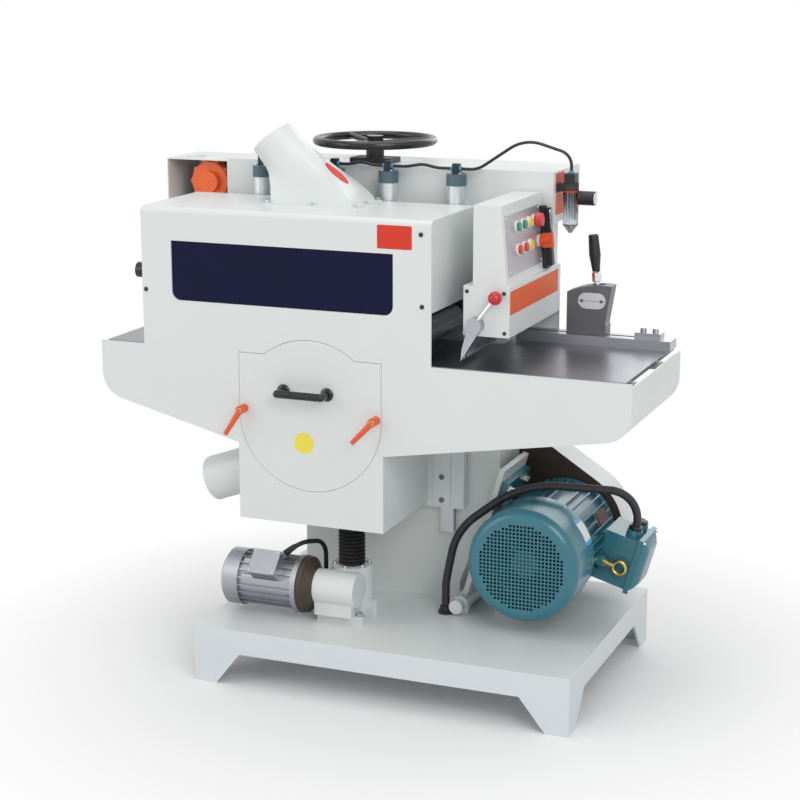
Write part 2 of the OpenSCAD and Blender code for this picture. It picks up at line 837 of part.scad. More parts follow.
module table_plate() {
    color("#85868E")
        difference() {
            translate([0, 0, under_z])
                linear_extrude(table_t)
                    polygon([[table_x0, inner_y], [table_x1, inner_y], [table_x1, wing_y1], [wing_x, wing_y1],
                        [wing_x, table_y1], [table_x0, table_y1]]);
            box([spindle_x - slot_x, spindle_x + slot_x],
                [blade_y(blade_n - 1) - 14, blade_y(0) + 14], [under_z - over, table_z + over]);
        }
}

box_x0 = spindle_x - box_w / 2;
box_x1 = spindle_x + box_w / 2;

// Lower edge of a wing from the dust box to its end, inset by the sheet's thickness where asked
function wing_edge(xb, xe, inset) =
    let (s = sign(xe - xb),
        slope = atan((wing_end_z - wing_root_z) / abs(xe - xb)),
        r = wing_r - inset,
        cx = s * xe - wing_r,
        cz = wing_root_z + (wing_r + sin(slope) * (cx - s * xb)) / cos(slope))
    concat([[xb, wing_root_z + inset / cos(slope)]],
        [for (p = arc(cx, cz, r, slope - 90, 0)) [s * p[0], p[1]]]);

function back_to_front(p) = [for (i = [len(p) - 1 : -1 : 0]) p[i]];

module panel_outline() {
    polygon(concat([[box_x0, box_z0], [box_x1, box_z0]], wing_edge(box_x1, end_x1, 0),
        [[end_x1, table_z - 2], [hood_x1, table_z - 2], [hood_x1, hood_top - hood_r],
            [hood_x0, hood_top - hood_r], [hood_x0, table_z - 2], [end_x0, table_z - 2]],
        back_to_front(wing_edge(box_x0, end_x0, 0))));
}

door_top = table_z - 4;

module door_outline(gap) {
    translate([spindle_x, spindle_z]) {
        circle(r = door_r + gap);
        translate([-door_r - gap, 0])
            square([2 * (door_r + gap), door_top - spindle_z + gap]);
    }
}

module window_outline(grow) {
    translate([window_x0 - grow, window_z0 - grow])
        difference() {
            square([window_w + 2 * grow, window_h + 2 * grow]);
            for (s = [0, 1])
                translate([s * (window_w + 2 * grow), 0])
                    mirror([s, 0])
                        difference() {
                            square(window_r);
                            translate([window_r, window_r])
                                circle(r = window_r);
                        }
        }
}

module front_panel() {
    color(paint)
        sheet_xz([front_y, inner_y])
            difference() {
                panel_outline();
                window_outline(0);
                door_outline(door_gap);
            }
    color(paint)
        sheet_xz([inner_y, inner_y + 3])
            intersection() {
                difference() {
                    translate([spindle_x, spindle_z])
                        circle(r = door_r + 12);
                    translate([spindle_x, spindle_z])
                        circle(r = door_r - 10);
                }
                translate([spindle_x - 188, box_z0 + sheet_t])
                    square([376, spindle_z - box_z0 - 60]);
            }
}

module apron_ring(xb, xe) {
    polygon(concat(wing_edge(xb, xe, 0), [[xe, under_z], [xe - sign(xe - xb) * sheet_t, under_z]],
        back_to_front(wing_edge(xb, xe, sheet_t))));
}

module apron_trays() {
    color(paint)
        difference() {
            union() {
                sheet_xz([inner_y, table_y1]) apron_ring(box_x0, end_x0);
                sheet_xz([inner_y, table_y1]) apron_ring(box_x1, end_x1);
                intersection() {
                    sheet_xz([table_y1 - 0.01, wing_y1]) apron_ring(box_x1, end_x1);
                    box([wing_x, end_x1 + over], [table_y1 - over, wing_y1 + over], [0, table_z]);
                }
                for (y = [inner_y + 60, table_y1 - 20])
                    box([table_x1 - 30, end_x1 - sheet_t / 2], [y, y + 12], [under_z - 20, under_z]);
                for (y = [inner_y + 60, table_y1 - 20])
                    box([end_x0 + sheet_t / 2, table_x0 + 30], [y, y + 12], [under_z - 20, under_z]);
            }
            box([saddle_x[0] - touch, saddle_x[1] + touch], [saddle_y0, table_y1 + over], [0, table_z]);
        }
}

saddle_slot = housing_r + 6;
lower_port_dir = 20;
lower_port_y = -100;
lower_port_z = 525;
lower_port_len = 160;
lower_port_collar = 45;

module lower_port_tube(r, from, to) {
    translate([box_x0, lower_port_y, lower_port_z])
        rotate([0, -90 - lower_port_dir, 0])
            translate([0, 0, from])
                cylinder(h = to - from, r = r);
}

module lower_box() {
    rear = [saddle_y0 - sheet_t, saddle_y0];
    color(paint)
        difference() {
            union() {
                for (x = [box_x0, box_x1 - sheet_t])
                    box([x, x + sheet_t], [inner_y, rear[1]], [box_z0, under_z]);
                box([box_x0, box_x1], [inner_y, rear[1]], [box_z0, box_z0 + sheet_t]);
                box([box_x0, box_x1], rear, [box_z0, under_z]);
            }
            box([spindle_x - saddle_slot, spindle_x + saddle_slot], [rear[0] - over, rear[1] + over],
                [spindle_z - saddle_slot - table_up, table_z]);
            lower_port_tube(port_r - port_wall, -60, 60);
        }
    color(paint)
        difference() {
            union() {
                lower_port_tube(port_r, -60, lower_port_len);
                lower_port_tube(port_r + 4, -60, lower_port_collar);
            }
            lower_port_tube(port_r - port_wall, -61, lower_port_len + over);
            box([box_x0 + sheet_t / 2, box_x0 + 200], [lower_port_y - 200, lower_port_y + 200], [box_z0, under_z]);
        }
}

module table_saddle() {
    color(paint)
        difference() {
            box(saddle_x, [saddle_y0, saddle_y1], [saddle_z0, saddle_z1]);
            for (x = guide_x)
                box([x - guide_w / 2 - slide, x + guide_w / 2 + slide], [col_y0 - guide_t - slide, saddle_y1 + over],
                    [saddle_z0 - over, saddle_z1 + over]);
            box([spindle_x - saddle_slot, spindle_x + saddle_slot], [saddle_y0 - over, saddle_y1 + over],
                [spindle_z - saddle_slot - table_up, table_z]);
        }
}

// Hood
port_x = [-395, -165];
port_y = [-100, 44];
hood_lip = 66;

module hood_shell() {
    color(paint) {
        difference() {
            bar_yz([hood_x0, hood_x1])
                polygon(concat(arc(front_y + hood_r, hood_top - hood_r, hood_r, 180, 90),
                    [[hood_y1, hood_top], [hood_y1, hood_top - hood_lip], [hood_y1 - sheet_t, hood_top - hood_lip],
                        [hood_y1 - sheet_t, hood_top - sheet_t]],
                    arc(front_y + hood_r, hood_top - hood_r, hood_r - sheet_t, 90, 180)));
            box([port_x[0] + 20, port_x[1] - 20], [port_y[0] + 15, port_y[1] - 15],
                [hood_top - 2 * sheet_t, hood_top + over]);
        }
        for (x = [hood_x0, hood_x1 - sheet_t])
            bar_yz([x, x + sheet_t])
                polygon(concat([[inner_y, hood_top - hood_r], [inner_y, hood_side_z],
                    [hood_y1 - sheet_t / 2, hood_side_z], [hood_y1 - sheet_t / 2, hood_top - sheet_t / 2]],
                    arc(front_y + hood_r, hood_top - hood_r, hood_r - sheet_t / 2, 90, 180)));
        along_x(front_y + 42, 1043, [hood_x0 - 12, hood_x0 + over], 9);
        along_x(front_y + 42, 1043, [hood_x0 - 34, hood_x0 - 11], 20);
    }
}

module hood_window() {
    color("#14153F")
        difference() {
            sheet_xz([inner_y, inner_y + 5]) window_outline(18);
            box([hood_x1 - 2 * sheet_t, hood_x1 + 100], [inner_y - over, inner_y + 10], [0, hood_top]);
        }
}

// Hood dust port: a box that grows into a leaning round pipe
mouth_x = -420;
mouth_y = -28;
mouth_z = 1380;
mouth_lean = -38;
mouth_len = 42;

port_n = 32;

function rect_point(k, hx, hy) =
    let (q = floor(4 * k / port_n), t = 4 * k / port_n - q)
    q == 0 ? [hx, hy * (2 * t - 1)] : q == 1 ? [hx * (1 - 2 * t), hy]
        : q == 2 ? [-hx, hy * (1 - 2 * t)] : [hx * (2 * t - 1), -hy];

function port_foot(inset) =
    let (c = [(port_x[0] + port_x[1]) / 2, (port_y[0] + port_y[1]) / 2],
        h = [(port_x[1] - port_x[0]) / 2 - inset, (port_y[1] - port_y[0]) / 2 - inset])
    [for (k = [0 : port_n - 1])
        let (p = rect_point(k, h[0], h[1]))
        [c[0] + p[0], c[1] + p[1], hood_top + 2]];

function port_mouth(r) =
    let (u = [cos(mouth_lean), 0, -sin(mouth_lean)], out = [sin(mouth_lean), 0, cos(mouth_lean)],
        c = [mouth_x, mouth_y, mouth_z] - (mouth_len - 2) * out)
    [for (k = [0 : port_n - 1])
        c + r * (cos(360 * k / port_n - 45) * u + sin(360 * k / port_n - 45) * [0, 1, 0])];

module hood_dust_port() {
    color(paint) {
        difference() {
            box([port_x[0] - 14, port_x[1] + 14], [port_y[0] - 14, port_y[1] + 14], [hood_top, hood_top + 4]);
            box([port_x[0] + 20, port_x[1] - 20], [port_y[0] + 15, port_y[1] - 15], [hood_top - over, hood_top + 5]);
        }
        pipe_skin([port_foot(0), port_mouth(port_r - 0.5), port_mouth(port_r - port_wall + 0.5),
            port_foot(port_wall)], port_n);
        translate([mouth_x, mouth_y, mouth_z])
            rotate([0, mouth_lean, 0])
                translate([0, 0, -mouth_len])
                    difference() {
                        cylinder(h = mouth_len, r = port_r);
                        translate([0, 0, -over])
                            cylinder(h = mouth_len + 2 * over, r = port_r - port_wall);
                    }
    }
}

// Fence
rail_x0 = wing_x + 12;
key_y = rail_y0 + 28;
key_w = 12;
stop_x = [rail_x1 - 98, rail_x1 - 30];

module fence_rail() {
    top = table_z + rail_h;
    color(steel)
        difference() {
            union() {
                box([rail_x0, rail_x1], [rail_y0, rail_y0 + rail_w], [table_z, top]);
                box(stop_x, [rail_y0 + 18, rail_y0 + rail_w - 5], [top - over, top + 14]);
                for (x = [stop_x[0] + 18, stop_x[1] - 18])
                    along_z(x, rail_y0 + 40, [top + 13, top + 24], 8);
            }
            box([rail_x0 + 10, stop_x[0]], [key_y, key_y + key_w], [top - 10, top + over]);
        }
}

carriage_x0 = 319;
carriage_y = [rail_y0 + 24, rail_y0 + 70];
carriage_z = table_z + rail_h + slide;
clamp_x = carriage_x0 + 75;
clamp_y = (carriage_y[0] + carriage_y[1]) / 2;
clamp_z = carriage_z + carriage_h - 18;

module fence_carriage() {
    lean = 14;
    top = carriage_z + carriage_h;
    color("#7A7A7C") {
        difference() {
            union() {
                sheet_xz(carriage_y)
                    intersection() {
                        polygon([[carriage_x0, carriage_z], [carriage_x0 + carriage_w - 8, carriage_z],
                            [carriage_x0 + carriage_w - 8, carriage_z + 26],
                            [carriage_x0 + carriage_w - 10, carriage_z + 28],
                            [carriage_x0 + carriage_w + lean - 8, top], [carriage_x0, top]]);
                        translate([carriage_x0 + carriage_w - 20, carriage_z - 90])
                            circle(r = carriage_h + 88);
                    }
                box([carriage_x0 + 16, carriage_x0 + carriage_w - 30], [key_y + slide, key_y + key_w - slide],
                    [carriage_z - 9, carriage_z + over]);
            }
            box([clamp_x - 14, clamp_x + 20], [clamp_y - 9 - slide, clamp_y + 9 + slide], [clamp_z - 16, top + over]);
            along_y(clamp_x, clamp_z, [carriage_y[0] - over, carriage_y[1] + over], 6 + run);
        }
        along_y(clamp_x, clamp_z, [carriage_y[0] + 2, clamp_y - 9 - slide], 6 + run);
    }
}

// Clamp handle: a cross pin, a turned socket and a moulded grip that leans a little
module fence_handle() {
    color(black) {
        along_y(clamp_x, clamp_z, [clamp_y - 9, carriage_y[1] - 2], 6);
        along_y(clamp_x, clamp_z, [clamp_y - 9, clamp_y + 9], 12);
        translate([clamp_x, clamp_y, clamp_z])
            rotate([0, -6, 0])
                rotate_extrude()
                    polygon([[0, 4], [8.5, 4], [8.5, 22], [13, 24], [13, 46], [10, 48], [11, 60], [15, 92],
                        [13, 140], [11, 144], [0, 144]]);
    }
}

// Jack screw and bellows
screw_flange_t = 12;
screw_bottom = worm_z - wheel_t / 2 - 4;

module jack_screw() {
    color(steel) {
        along_z(jack_x, jack_y, [screw_bottom, box_z0 - screw_flange_t + over], jack_r);
        along_z(jack_x, jack_y, [box_z0 - screw_flange_t, box_z0], bellows_r + 6);
    }
}

module screw_bellows() {
    length = box_z0 - screw_flange_t - jack_top;
    pitch = length / bellows_n;
    inner = bellows_r - 8;
    wall = 1.5;
    color(black)
        translate([jack_x, jack_y, jack_top])
            rotate_extrude()
                polygon(concat([for (i = [0 : 2 * bellows_n]) [i % 2 == 0 ? inner : bellows_r, i * pitch / 2]],
                    [for (i = [2 * bellows_n : -1 : 0]) [(i % 2 == 0 ? inner : bellows_r) - wall, i * pitch / 2]]));
}

// Front door with its bridge handle and a round plate
handle_z = spindle_z + 61;
handle_x = spindle_x - 11;
handle_out = 40;
grip_r = 10;
clamp_height = spindle_z + clamp_rise;

module front_door() {
    color(paint)
        difference() {
            sheet_xz([front_y, inner_y]) door_outline(0);
            for (s = [-1, 1])
                along_y(spindle_x + s * clamp_off, clamp_height, [front_y - over, inner_y + over], 6 + run);
        }
    color(black) {
        for (s = [-1, 1])
            along_y(handle_x + s * handle_pitch / 2, handle_z, [front_y - handle_out, front_y], grip_r);
        along_x(front_y - handle_out, handle_z, [handle_x - handle_pitch / 2, handle_x + handle_pitch / 2], grip_r);
        for (s = [-1, 1])
            translate([handle_x + s * handle_pitch / 2, front_y - handle_out, handle_z])
                sphere(r = grip_r);
    }
    color("#F3E85C")
        along_y(spindle_x - 16, spindle_z - 71, [front_y - 1, front_y], 27);
}

module clamp_lever(s, angle) {
    x = spindle_x + s * clamp_off;
    color(orange) {
        along_y(x, clamp_height, [front_y - 30, front_y - touch], 11);
        along_y(x, clamp_height, [front_y - touch - over, inner_y], 6);
        translate([x, front_y - 24, clamp_height])
            rotate([0, angle, 0])
                rotate([-18, 0, 0])
                    translate([0, 0, -clamp_len])
                        cylinder(h = clamp_len, r1 = 6, r2 = 8);
    }
}

module clamp_lever_left() {
    clamp_lever(-1, 28);
}

module clamp_lever_right() {
    clamp_lever(1, 42);
}

// Feed head
beam_y1 = beam_y0 + beam_d;
beam_top = beam_z0 + beam_h;
sleeve_r = 38;
bearing_h = 34;

module feed_beam() {
    color(paint)
        difference() {
            union() {
                difference() {
                    box([beam_x0, beam_x1], [beam_y0, beam_y1], [beam_z0, beam_top]);
                    box([beam_x0 + beam_wall, beam_x1 - beam_wall], [beam_y0 + beam_wall, beam_y1 - beam_wall],
                        [beam_z0 + beam_wall, beam_top - beam_wall]);
                }
                for (x = post_x)
                    along_z(x, post_y, [beam_z0 + over, beam_z0 + 76], sleeve_r);
                box([spindle_x - 58, spindle_x + 58], [post_y - 36, post_y + 36], [beam_top - over, beam_top + 14]);
                along_z(spindle_x, post_y, [beam_top, beam_top + bearing_h], 24);
                box([infeed_x0 + 40, infeed_x1 - 6], [beam_y0 + 20, infeed_y1 - 10], [infeed_z1, beam_z0 + over]);
                roller_guides();
            }
            for (x = post_x)
                along_z(x, post_y, [beam_z0 - over, beam_z0 + 77], post_r + run);
            along_z(spindle_x, post_y, [beam_z0 - over, beam_z0 + beam_wall + over], lift_nut_r + 4);
            along_z(spindle_x, post_y, [beam_top - 2 * beam_wall, beam_top + bearing_h + over], lift_screw_r + run);
        }
}

wheel_z = beam_top + 58;

module handwheel() {
    hub_z = beam_top + bearing_h + touch;
    color(black) {
        along_z(spindle_x, post_y, [col_top - 70, hub_z + over], lift_screw_r);
        along_z(spindle_x, post_y, [hub_z, hub_z + 36], 22);
        for (i = [0 : 2])
            translate([spindle_x, post_y, 0])
                rotate([0, 0, 120 * i + 20])
                    translate([15, 0, hub_z + 16])
                        rotate([0, 90 - 4, 0])
                            cylinder(h = wheel_r - 24, r = 8);
        translate([spindle_x, post_y, wheel_z])
            rotate_extrude()
                translate([wheel_r - rim_r, 0])
                    circle(r = rim_r);
    }
}

// Air cylinders with their rods, carriers and rollers
cyl_y = 88;
cyl_x = [-509, -298, -146, 42];
roller_x = [-509, -347, -97, 42];
cyl_z = [beam_z0 - 62, beam_top - 10];
cap_h = 30;
cap_r = cyl_r + 3;
rod_r = 8;
piston_z = 1185;
piston_t = 20;
roller_z = table_z + roller_gap + roller_r;
carrier_w = 28;
carrier_z1 = 1040;
carrier_y = [64, beam_y0 - 2];
roller_shaft_r = 14;
roller_y1 = 42;

module air_cylinder(x) {
    difference() {
        union() {
            along_z(x, cyl_y, cyl_z, cyl_r);
            along_z(x, cyl_y, [cyl_z[0], cyl_z[0] + cap_h], cap_r);
            along_z(x, cyl_y, [cyl_z[1] - cap_h, cyl_z[1]], cap_r);
            box([x - 16, x + 16], [cyl_y, beam_y0], [beam_z0 + 10, beam_z0 + 50]);
            box([x - 9, x + 9], [cyl_y - 9, cyl_y + 9], [cyl_z[1] - over, cyl_z[1] + 26]);
        }
        along_z(x, cyl_y, [cyl_z[0] + cap_h - 10, cyl_z[1] - cap_h], cyl_r - 3);
        along_z(x, cyl_y, [cyl_z[0] - over, cyl_z[0] + cap_h], rod_r + touch);
    }
}

module air_cylinders() {
    color("#C9CDD2")
        for (x = cyl_x)
            air_cylinder(x);
}

// Plate and bars under the beam that guide the carriers
module roller_guides() {
    z = [carrier_z1 - 80, beam_z0 + over];
    box([cyl_x[0] - 55, cyl_x[3] + 55], [beam_y0, beam_y0 + 8], z);
    for (x = cyl_x, s = [-1, 1])
        box([x + s * (carrier_w + slide + 6) - 6, x + s * (carrier_w + slide + 6) + 6],
            [beam_y0 - 26, beam_y0 + over], z);
}

module roller_carrier(i) {
    x = cyl_x[i];
    difference() {
        union() {
            along_z(x, cyl_y, [carrier_z1 - over, piston_z], rod_r);
            along_z(x, cyl_y, [piston_z - over, piston_z + piston_t], cyl_r - 3 - touch);
            box([x - carrier_w, x + carrier_w], carrier_y, [roller_z, carrier_z1]);
            box([min(x, roller_x[i]) - carrier_w, max(x, roller_x[i]) + carrier_w], [carrier_y[0], carrier_y[1] - 28],
                [roller_z, roller_z + 60]);
            along_y(roller_x[i], roller_z, [carrier_y[0], carrier_y[1] - 28], 25);
        }
        along_y(roller_x[i], roller_z, [carrier_y[0] - over, carrier_y[1] + over], roller_shaft_r + run);
    }
}

module feed_roller(i) {
    grooves = 12;
    difference() {
        union() {
            along_y(roller_x[i], roller_z, [roller_y1 - roller_len, roller_y1], roller_r);
            along_y(roller_x[i], roller_z, [roller_y1 - over, carrier_y[1] - 28], roller_shaft_r);
        }
        for (k = [0 : grooves - 1])
            translate([roller_x[i], 0, roller_z])
                rotate([0, 360 * k / grooves, 0])
                    box([roller_r - 2, roller_r + over], [roller_y1 - roller_len - over, roller_y1 + over], [-1.5, 1.5]);
    }
}

module roller_carrier_1() {
    color(dark_steel)
        roller_carrier(0);
}

module roller_carrier_2() {
    color(dark_steel)
        roller_carrier(1);
}

module roller_carrier_3() {
    color(dark_steel)
        roller_carrier(2);
}

module roller_carrier_4() {
    color(dark_steel)
        roller_carrier(3);
}

module feed_roller_1() {
    color(steel)
        feed_roller(0);
}

module feed_roller_2() {
    color(steel)
        feed_roller(1);
}

module feed_roller_3() {
    color(steel)
        feed_roller(2);
}

module feed_roller_4() {
    color(steel)
        feed_roller(3);
}

// In-feed box, control box and operator panel
lever_x = 202;
lever_z = 962;
finger_t = 8;
wall_t = 3;

module infeed_box() {
    rear_x0 = col_x1 + 8;
    z = [infeed_z0, infeed_z1];
    color(paint)
        difference() {
            union() {
                box([infeed_x0, infeed_x1], [infeed_y0, infeed_y0 + wall_t], z);
                box([infeed_x1 - wall_t, infeed_x1], [infeed_y0, infeed_y1], z);
                box([infeed_x0, infeed_x1], [infeed_y0, 80], [z[1] - wall_t, z[1]]);
                box([rear_x0, infeed_x1], [80 - over, infeed_y1], [z[1] - wall_t, z[1]]);
                box([rear_x0, infeed_x1], [infeed_y1 - wall_t, infeed_y1], [infeed_z0 - 52, z[1]]);
                box([rear_x0, infeed_x1], [72, 72 + wall_t], z);
            }
            along_y(lever_x, lever_z, [infeed_y0 - over, infeed_y1 + over], 10 + run);
        }
}

// Tooth bar: a shaft with fingers, one of them outside the box, and a ball lever
module finger(y) {
    sheet_xz([y, y + finger_t])
        union() {
            translate([lever_x, lever_z])
                circle(r = 18);
            polygon([[lever_x - 18, lever_z - 2], [lever_x + 17, lever_z - 5], [lever_x - 37, table_z + 9],
                [lever_x - 34, table_z + 40]]);
        }
}

module kickback_gate() {
    ball = [53, 71];
    ball_y = infeed_y0 - 20;
    fingers = 10;
    color(dark_steel) {
        along_y(lever_x, lever_z, [infeed_y0 - 28, infeed_y0 - touch], 20);
        along_y(lever_x, lever_z, [infeed_y0 - over, 74], 10);
        finger(infeed_y0 - 13);
        for (i = [0 : fingers - 1])
            finger(infeed_y0 + 8 + 25 * i);
        translate([lever_x, ball_y, lever_z])
            rotate([0, atan2(ball[0], ball[1]), 0])
                translate([0, 0, 12])
                    cylinder(h = norm(ball) - 14, r = 5);
    }
    color(red)
        translate([lever_x + ball[0], ball_y, lever_z + ball[1]])
            sphere(r = 17);
}

control_y0 = infeed_y0;
control_y1 = control_y0 + control_d;
control_z1 = infeed_z1 + control_h;
control_x0 = 191;
control_x1 = 278;

// Frame of the leaning panel: X points out of the panel and Z runs up it
module panel_frame() {
    translate([control_x1, 0, infeed_z1])
        rotate([0, -panel_lean, 0])
            children();
}

button_y = [-100, -55, -10, 35];
selector_y = 66;
row_z = [136, 80];
spots = concat([for (y = button_y) [y, row_z[0]]], [for (i = [0 : 2]) [button_y[i], row_z[1]]],
    [[selector_y, row_z[1]]]);
bezel_r = button_r + 4;
bezel_t = 5;
plate_d = 2;

module panel_hole(y, z, r) {
    along_x(y, z, [-10, 20], r);
}

module control_box() {
    top_x = control_x1 - control_h * tan(panel_lean);
    color(paint)
        difference() {
            sheet_xz([control_y0, control_y1])
                polygon([[control_x0, infeed_z1], [control_x1, infeed_z1], [top_x, control_z1], [control_x0, control_z1]]);
            sheet_xz([control_y0 + wall_t, control_y1 - wall_t])
                polygon([[control_x0 + wall_t, infeed_z1 + wall_t], [control_x1 - 2 * wall_t, infeed_z1 + wall_t],
                    [top_x - 2 * wall_t, control_z1 - wall_t], [control_x0 + wall_t, control_z1 - wall_t]]);
            panel_frame()
                for (p = spots)
                    panel_hole(p[0], p[1], button_r + touch);
        }
    color("#B9B4BC")
        panel_frame()
            difference() {
                box([-over, plate_d], [control_y0 + 20, control_y1 - 28], [24, control_h - 26]);
                for (p = spots)
                    panel_hole(p[0], p[1], button_r + touch);
            }
    color("#E9E9E6")
        panel_frame()
            for (p = spots)
                difference() {
                    along_x(p[0], p[1], [plate_d, plate_d + bezel_t], bezel_r);
                    panel_hole(p[0], p[1], button_r + touch);
                }
    color("#F1E08A")
        panel_frame()
            for (z = row_z)
                along_x(button_y[2], z, [-2, plate_d + bezel_t + 5], button_r + 2 * touch);
    color(black)
        panel_frame()
            box([-over, tray_d], [swing_y - 12, swing_y + 12], [6, 164]);
}

swing_y = control_y1 - 13;
tray_d = 14;
swing_t = 5.7;
swing_x = tray_d + touch + swing_t;
swing_z = 16;

module swing_handle() {
    color(black)
        panel_frame() {
            translate([swing_x, swing_y - 9, swing_z])
                rotate([-90, 0, 0])
                    cylinder(h = 18, r = swing_t);
            box([swing_x - swing_t, swing_x + swing_t], [swing_y - 9, swing_y + 9], [swing_z, 158]);
        }
}

module selector_knob() {
    color(orange)
        panel_frame() {
            along_x(selector_y, row_z[1], [-wall_t, 30], button_r);
            along_x(selector_y, row_z[1], [plate_d + bezel_t + touch, 14], button_r + 5);
            box([13, 40], [selector_y - 6, selector_y + 6], [row_z[1] - 18, row_z[1] + 18]);
        }
}

module push_button(y, z) {
    panel_frame()
        along_x(y, z, [-wall_t, plate_d + bezel_t + button_travel + 2], button_r);
}

module start_button_1() {
    color("#1F8A6E")
        push_button(button_y[0], row_z[0]);
}

module start_button_2() {
    color("#1F8A6E")
        push_button(button_y[1], row_z[0]);
}

module stop_button_1() {
    color("#D64A45")
        push_button(button_y[0], row_z[1]);
}

module stop_button_2() {
    color("#D64A45")
        push_button(button_y[1], row_z[1]);
}

module emergency_stop() {
    color(red)
        panel_frame() {
            along_x(button_y[3], row_z[0], [-wall_t, plate_d + bezel_t + button_travel + 2], button_r);
            translate([plate_d + bezel_t + button_travel + 1, button_y[3], row_z[0]])
                rotate([0, 90, 0])
                    cylinder(h = 14, r1 = 19, r2 = 16);
        }
}

// Air unit on the beam's right end
air_x = beam_x1 + 34;
air_y = 160;
air_z = 1236;

spigot_r = 8;
knob_x0 = air_x + 22;

module filter_regulator() {
    color(black) {
        box([beam_x1, air_x], [air_y - 18, air_y + 18], [air_z + 16, air_z + 36]);
        along_z(air_x, air_y, [air_z - 22, air_z + 38], 20);
        box([air_x - 14, air_x + 14], [air_y - 16, air_y + 16], [air_z + 37, air_z + 62]);
        along_x(air_y, air_z, [air_x, knob_x0 + 20], spigot_r);
        along_z(air_x, air_y, [air_z - 70, air_z - 21], 20);
        translate([air_x, air_y, air_z - 90])
            cylinder(h = 20.01, r1 = 5, r2 = 20);
    }
}

module regulator_knob() {
    color(black)
        difference() {
            along_x(air_y, air_z, [knob_x0, knob_x0 + 42], 18);
            along_x(air_y, air_z, [knob_x0 - over, knob_x0 + 20 + touch], spigot_r + run);
        }
}

// Air tubes along the cylinder tops and over to the air unit
tube_r = 4;
tee_z = cyl_z[1] + 13;
tube_arch = 8;
tube_top = air_z + 62;
tube_out = rounded([[cyl_x[3] + 9 + touch, cyl_y, tee_z], [cyl_x[3] + 58, cyl_y, tee_z],
    [cyl_x[3] + 173, 118, tee_z + 80], [air_x, air_y, tee_z + 40], [air_x, air_y, tube_top + touch]], [60, 90, 40]);

module air_tubes() {
    color(black) {
        for (i = [0 : 2])
            let (a = cyl_x[i] + 9 + touch, b = cyl_x[i + 1] - 9 - touch, q = (b - a) / 4)
            tube(rounded([[a, cyl_y, tee_z], [a + q, cyl_y, tee_z], [(a + b) / 2, cyl_y, tee_z + tube_arch],
                [b - q, cyl_y, tee_z], [b, cyl_y, tee_z]], [80, 70, 80]), tube_r, [0, 1, 0]);
        tube(tube_out, tube_r, [0, 1, 0]);
    }
}

// Feed drive at the left end of the beam
drive_x = [beam_x0 - drive_len, beam_x0];
drive_y = [160, beam_y1];
drive_z = [beam_z0, beam_z0 + drive_h];
gear_x = -722;
gear_z = 1228;
feed_gear_r = 62;

module feed_drive() {
    lobes = 10;
    color(paint) {
        difference() {
            box(drive_x, drive_y, drive_z);
            box([drive_x[0] + wall_t, drive_x[1] - wall_t], [drive_y[0] - over, drive_y[1] - wall_t],
                [drive_z[0] + wall_t, drive_z[1] - wall_t]);
        }
        along_z(drive_x[0] + 60, drive_y[0] + 60, [drive_z[1] - over, drive_z[1] + 6], 26);
    }
    color("#F06A2A") {
        along_y(gear_x, gear_z, [drive_y[0] + 30, drive_y[0] + 70], feed_gear_r - 8);
        for (k = [0 : lobes - 1])
            along_y(gear_x + (feed_gear_r - 12) * cos(360 * k / lobes), gear_z + (feed_gear_r - 12) * sin(360 * k / lobes),
                [drive_y[0] + 34, drive_y[0] + 62], 10);
        along_y(gear_x, gear_z, [drive_y[0] + 16, drive_y[0] + 31], 30);
    }
    color(teal)
        along_y(gear_x, gear_z, [drive_y[0] + 69, drive_y[1] - wall_t], 46);
}

base_frame();
column();
column_guides();
jack_gearbox();
lift_motor();
lift_motor_cable();
main_motor_housing();
fan_cover();
main_terminal_box();
motor_plate();
motor_hinge();
main_motor_conduit();
belt_guard();
drive_belts();
spindle_housing();
table_plate();
front_panel();
apron_trays();
lower_box();
table_saddle();
hood_shell();
hood_window();
hood_dust_port();
fence_rail();
jack_screw();
screw_bellows();
front_door();
clamp_lever_left();
clamp_lever_right();
fence_carriage();
fence_handle();
saw_spindle();
saw_blades();
motor_rotor();
jack_worm_wheel();
feed_beam();
air_cylinders();
handwheel();
roller_carrier_1();
roller_carrier_2();
roller_carrier_3();
roller_carrier_4();
feed_roller_1();
feed_roller_2();
feed_roller_3();
feed_roller_4();
control_box();
infeed_box();
kickback_gate();
start_button_1();
start_button_2();
stop_button_1();
stop_button_2();
emergency_stop();
selector_knob();
swing_handle();
filter_regulator();
regulator_knob();
air_tubes();
feed_drive();
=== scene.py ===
"""Looks of a multi rip saw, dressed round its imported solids."""

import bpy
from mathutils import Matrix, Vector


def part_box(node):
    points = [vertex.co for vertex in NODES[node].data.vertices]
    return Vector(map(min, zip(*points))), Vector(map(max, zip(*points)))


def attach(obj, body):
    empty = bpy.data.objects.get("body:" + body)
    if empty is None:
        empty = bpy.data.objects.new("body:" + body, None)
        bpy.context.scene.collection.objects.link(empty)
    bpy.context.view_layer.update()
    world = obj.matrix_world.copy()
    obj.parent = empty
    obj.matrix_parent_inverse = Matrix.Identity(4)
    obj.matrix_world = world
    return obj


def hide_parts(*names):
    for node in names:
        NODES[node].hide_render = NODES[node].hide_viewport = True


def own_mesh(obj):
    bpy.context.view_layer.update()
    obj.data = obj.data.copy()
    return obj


bl_info = {
    "name": "Multi rip saw",
    "version": (1, 0, 0),
    "blender": (4, 5, 0),
    "location": "View3D > Sidebar > Rip saw",
    "description": "Finishes, cables and small fittings of a multi rip saw",
    "category": "Object",
}

import math

import bmesh
import bpy
from mathutils import Matrix, Vector

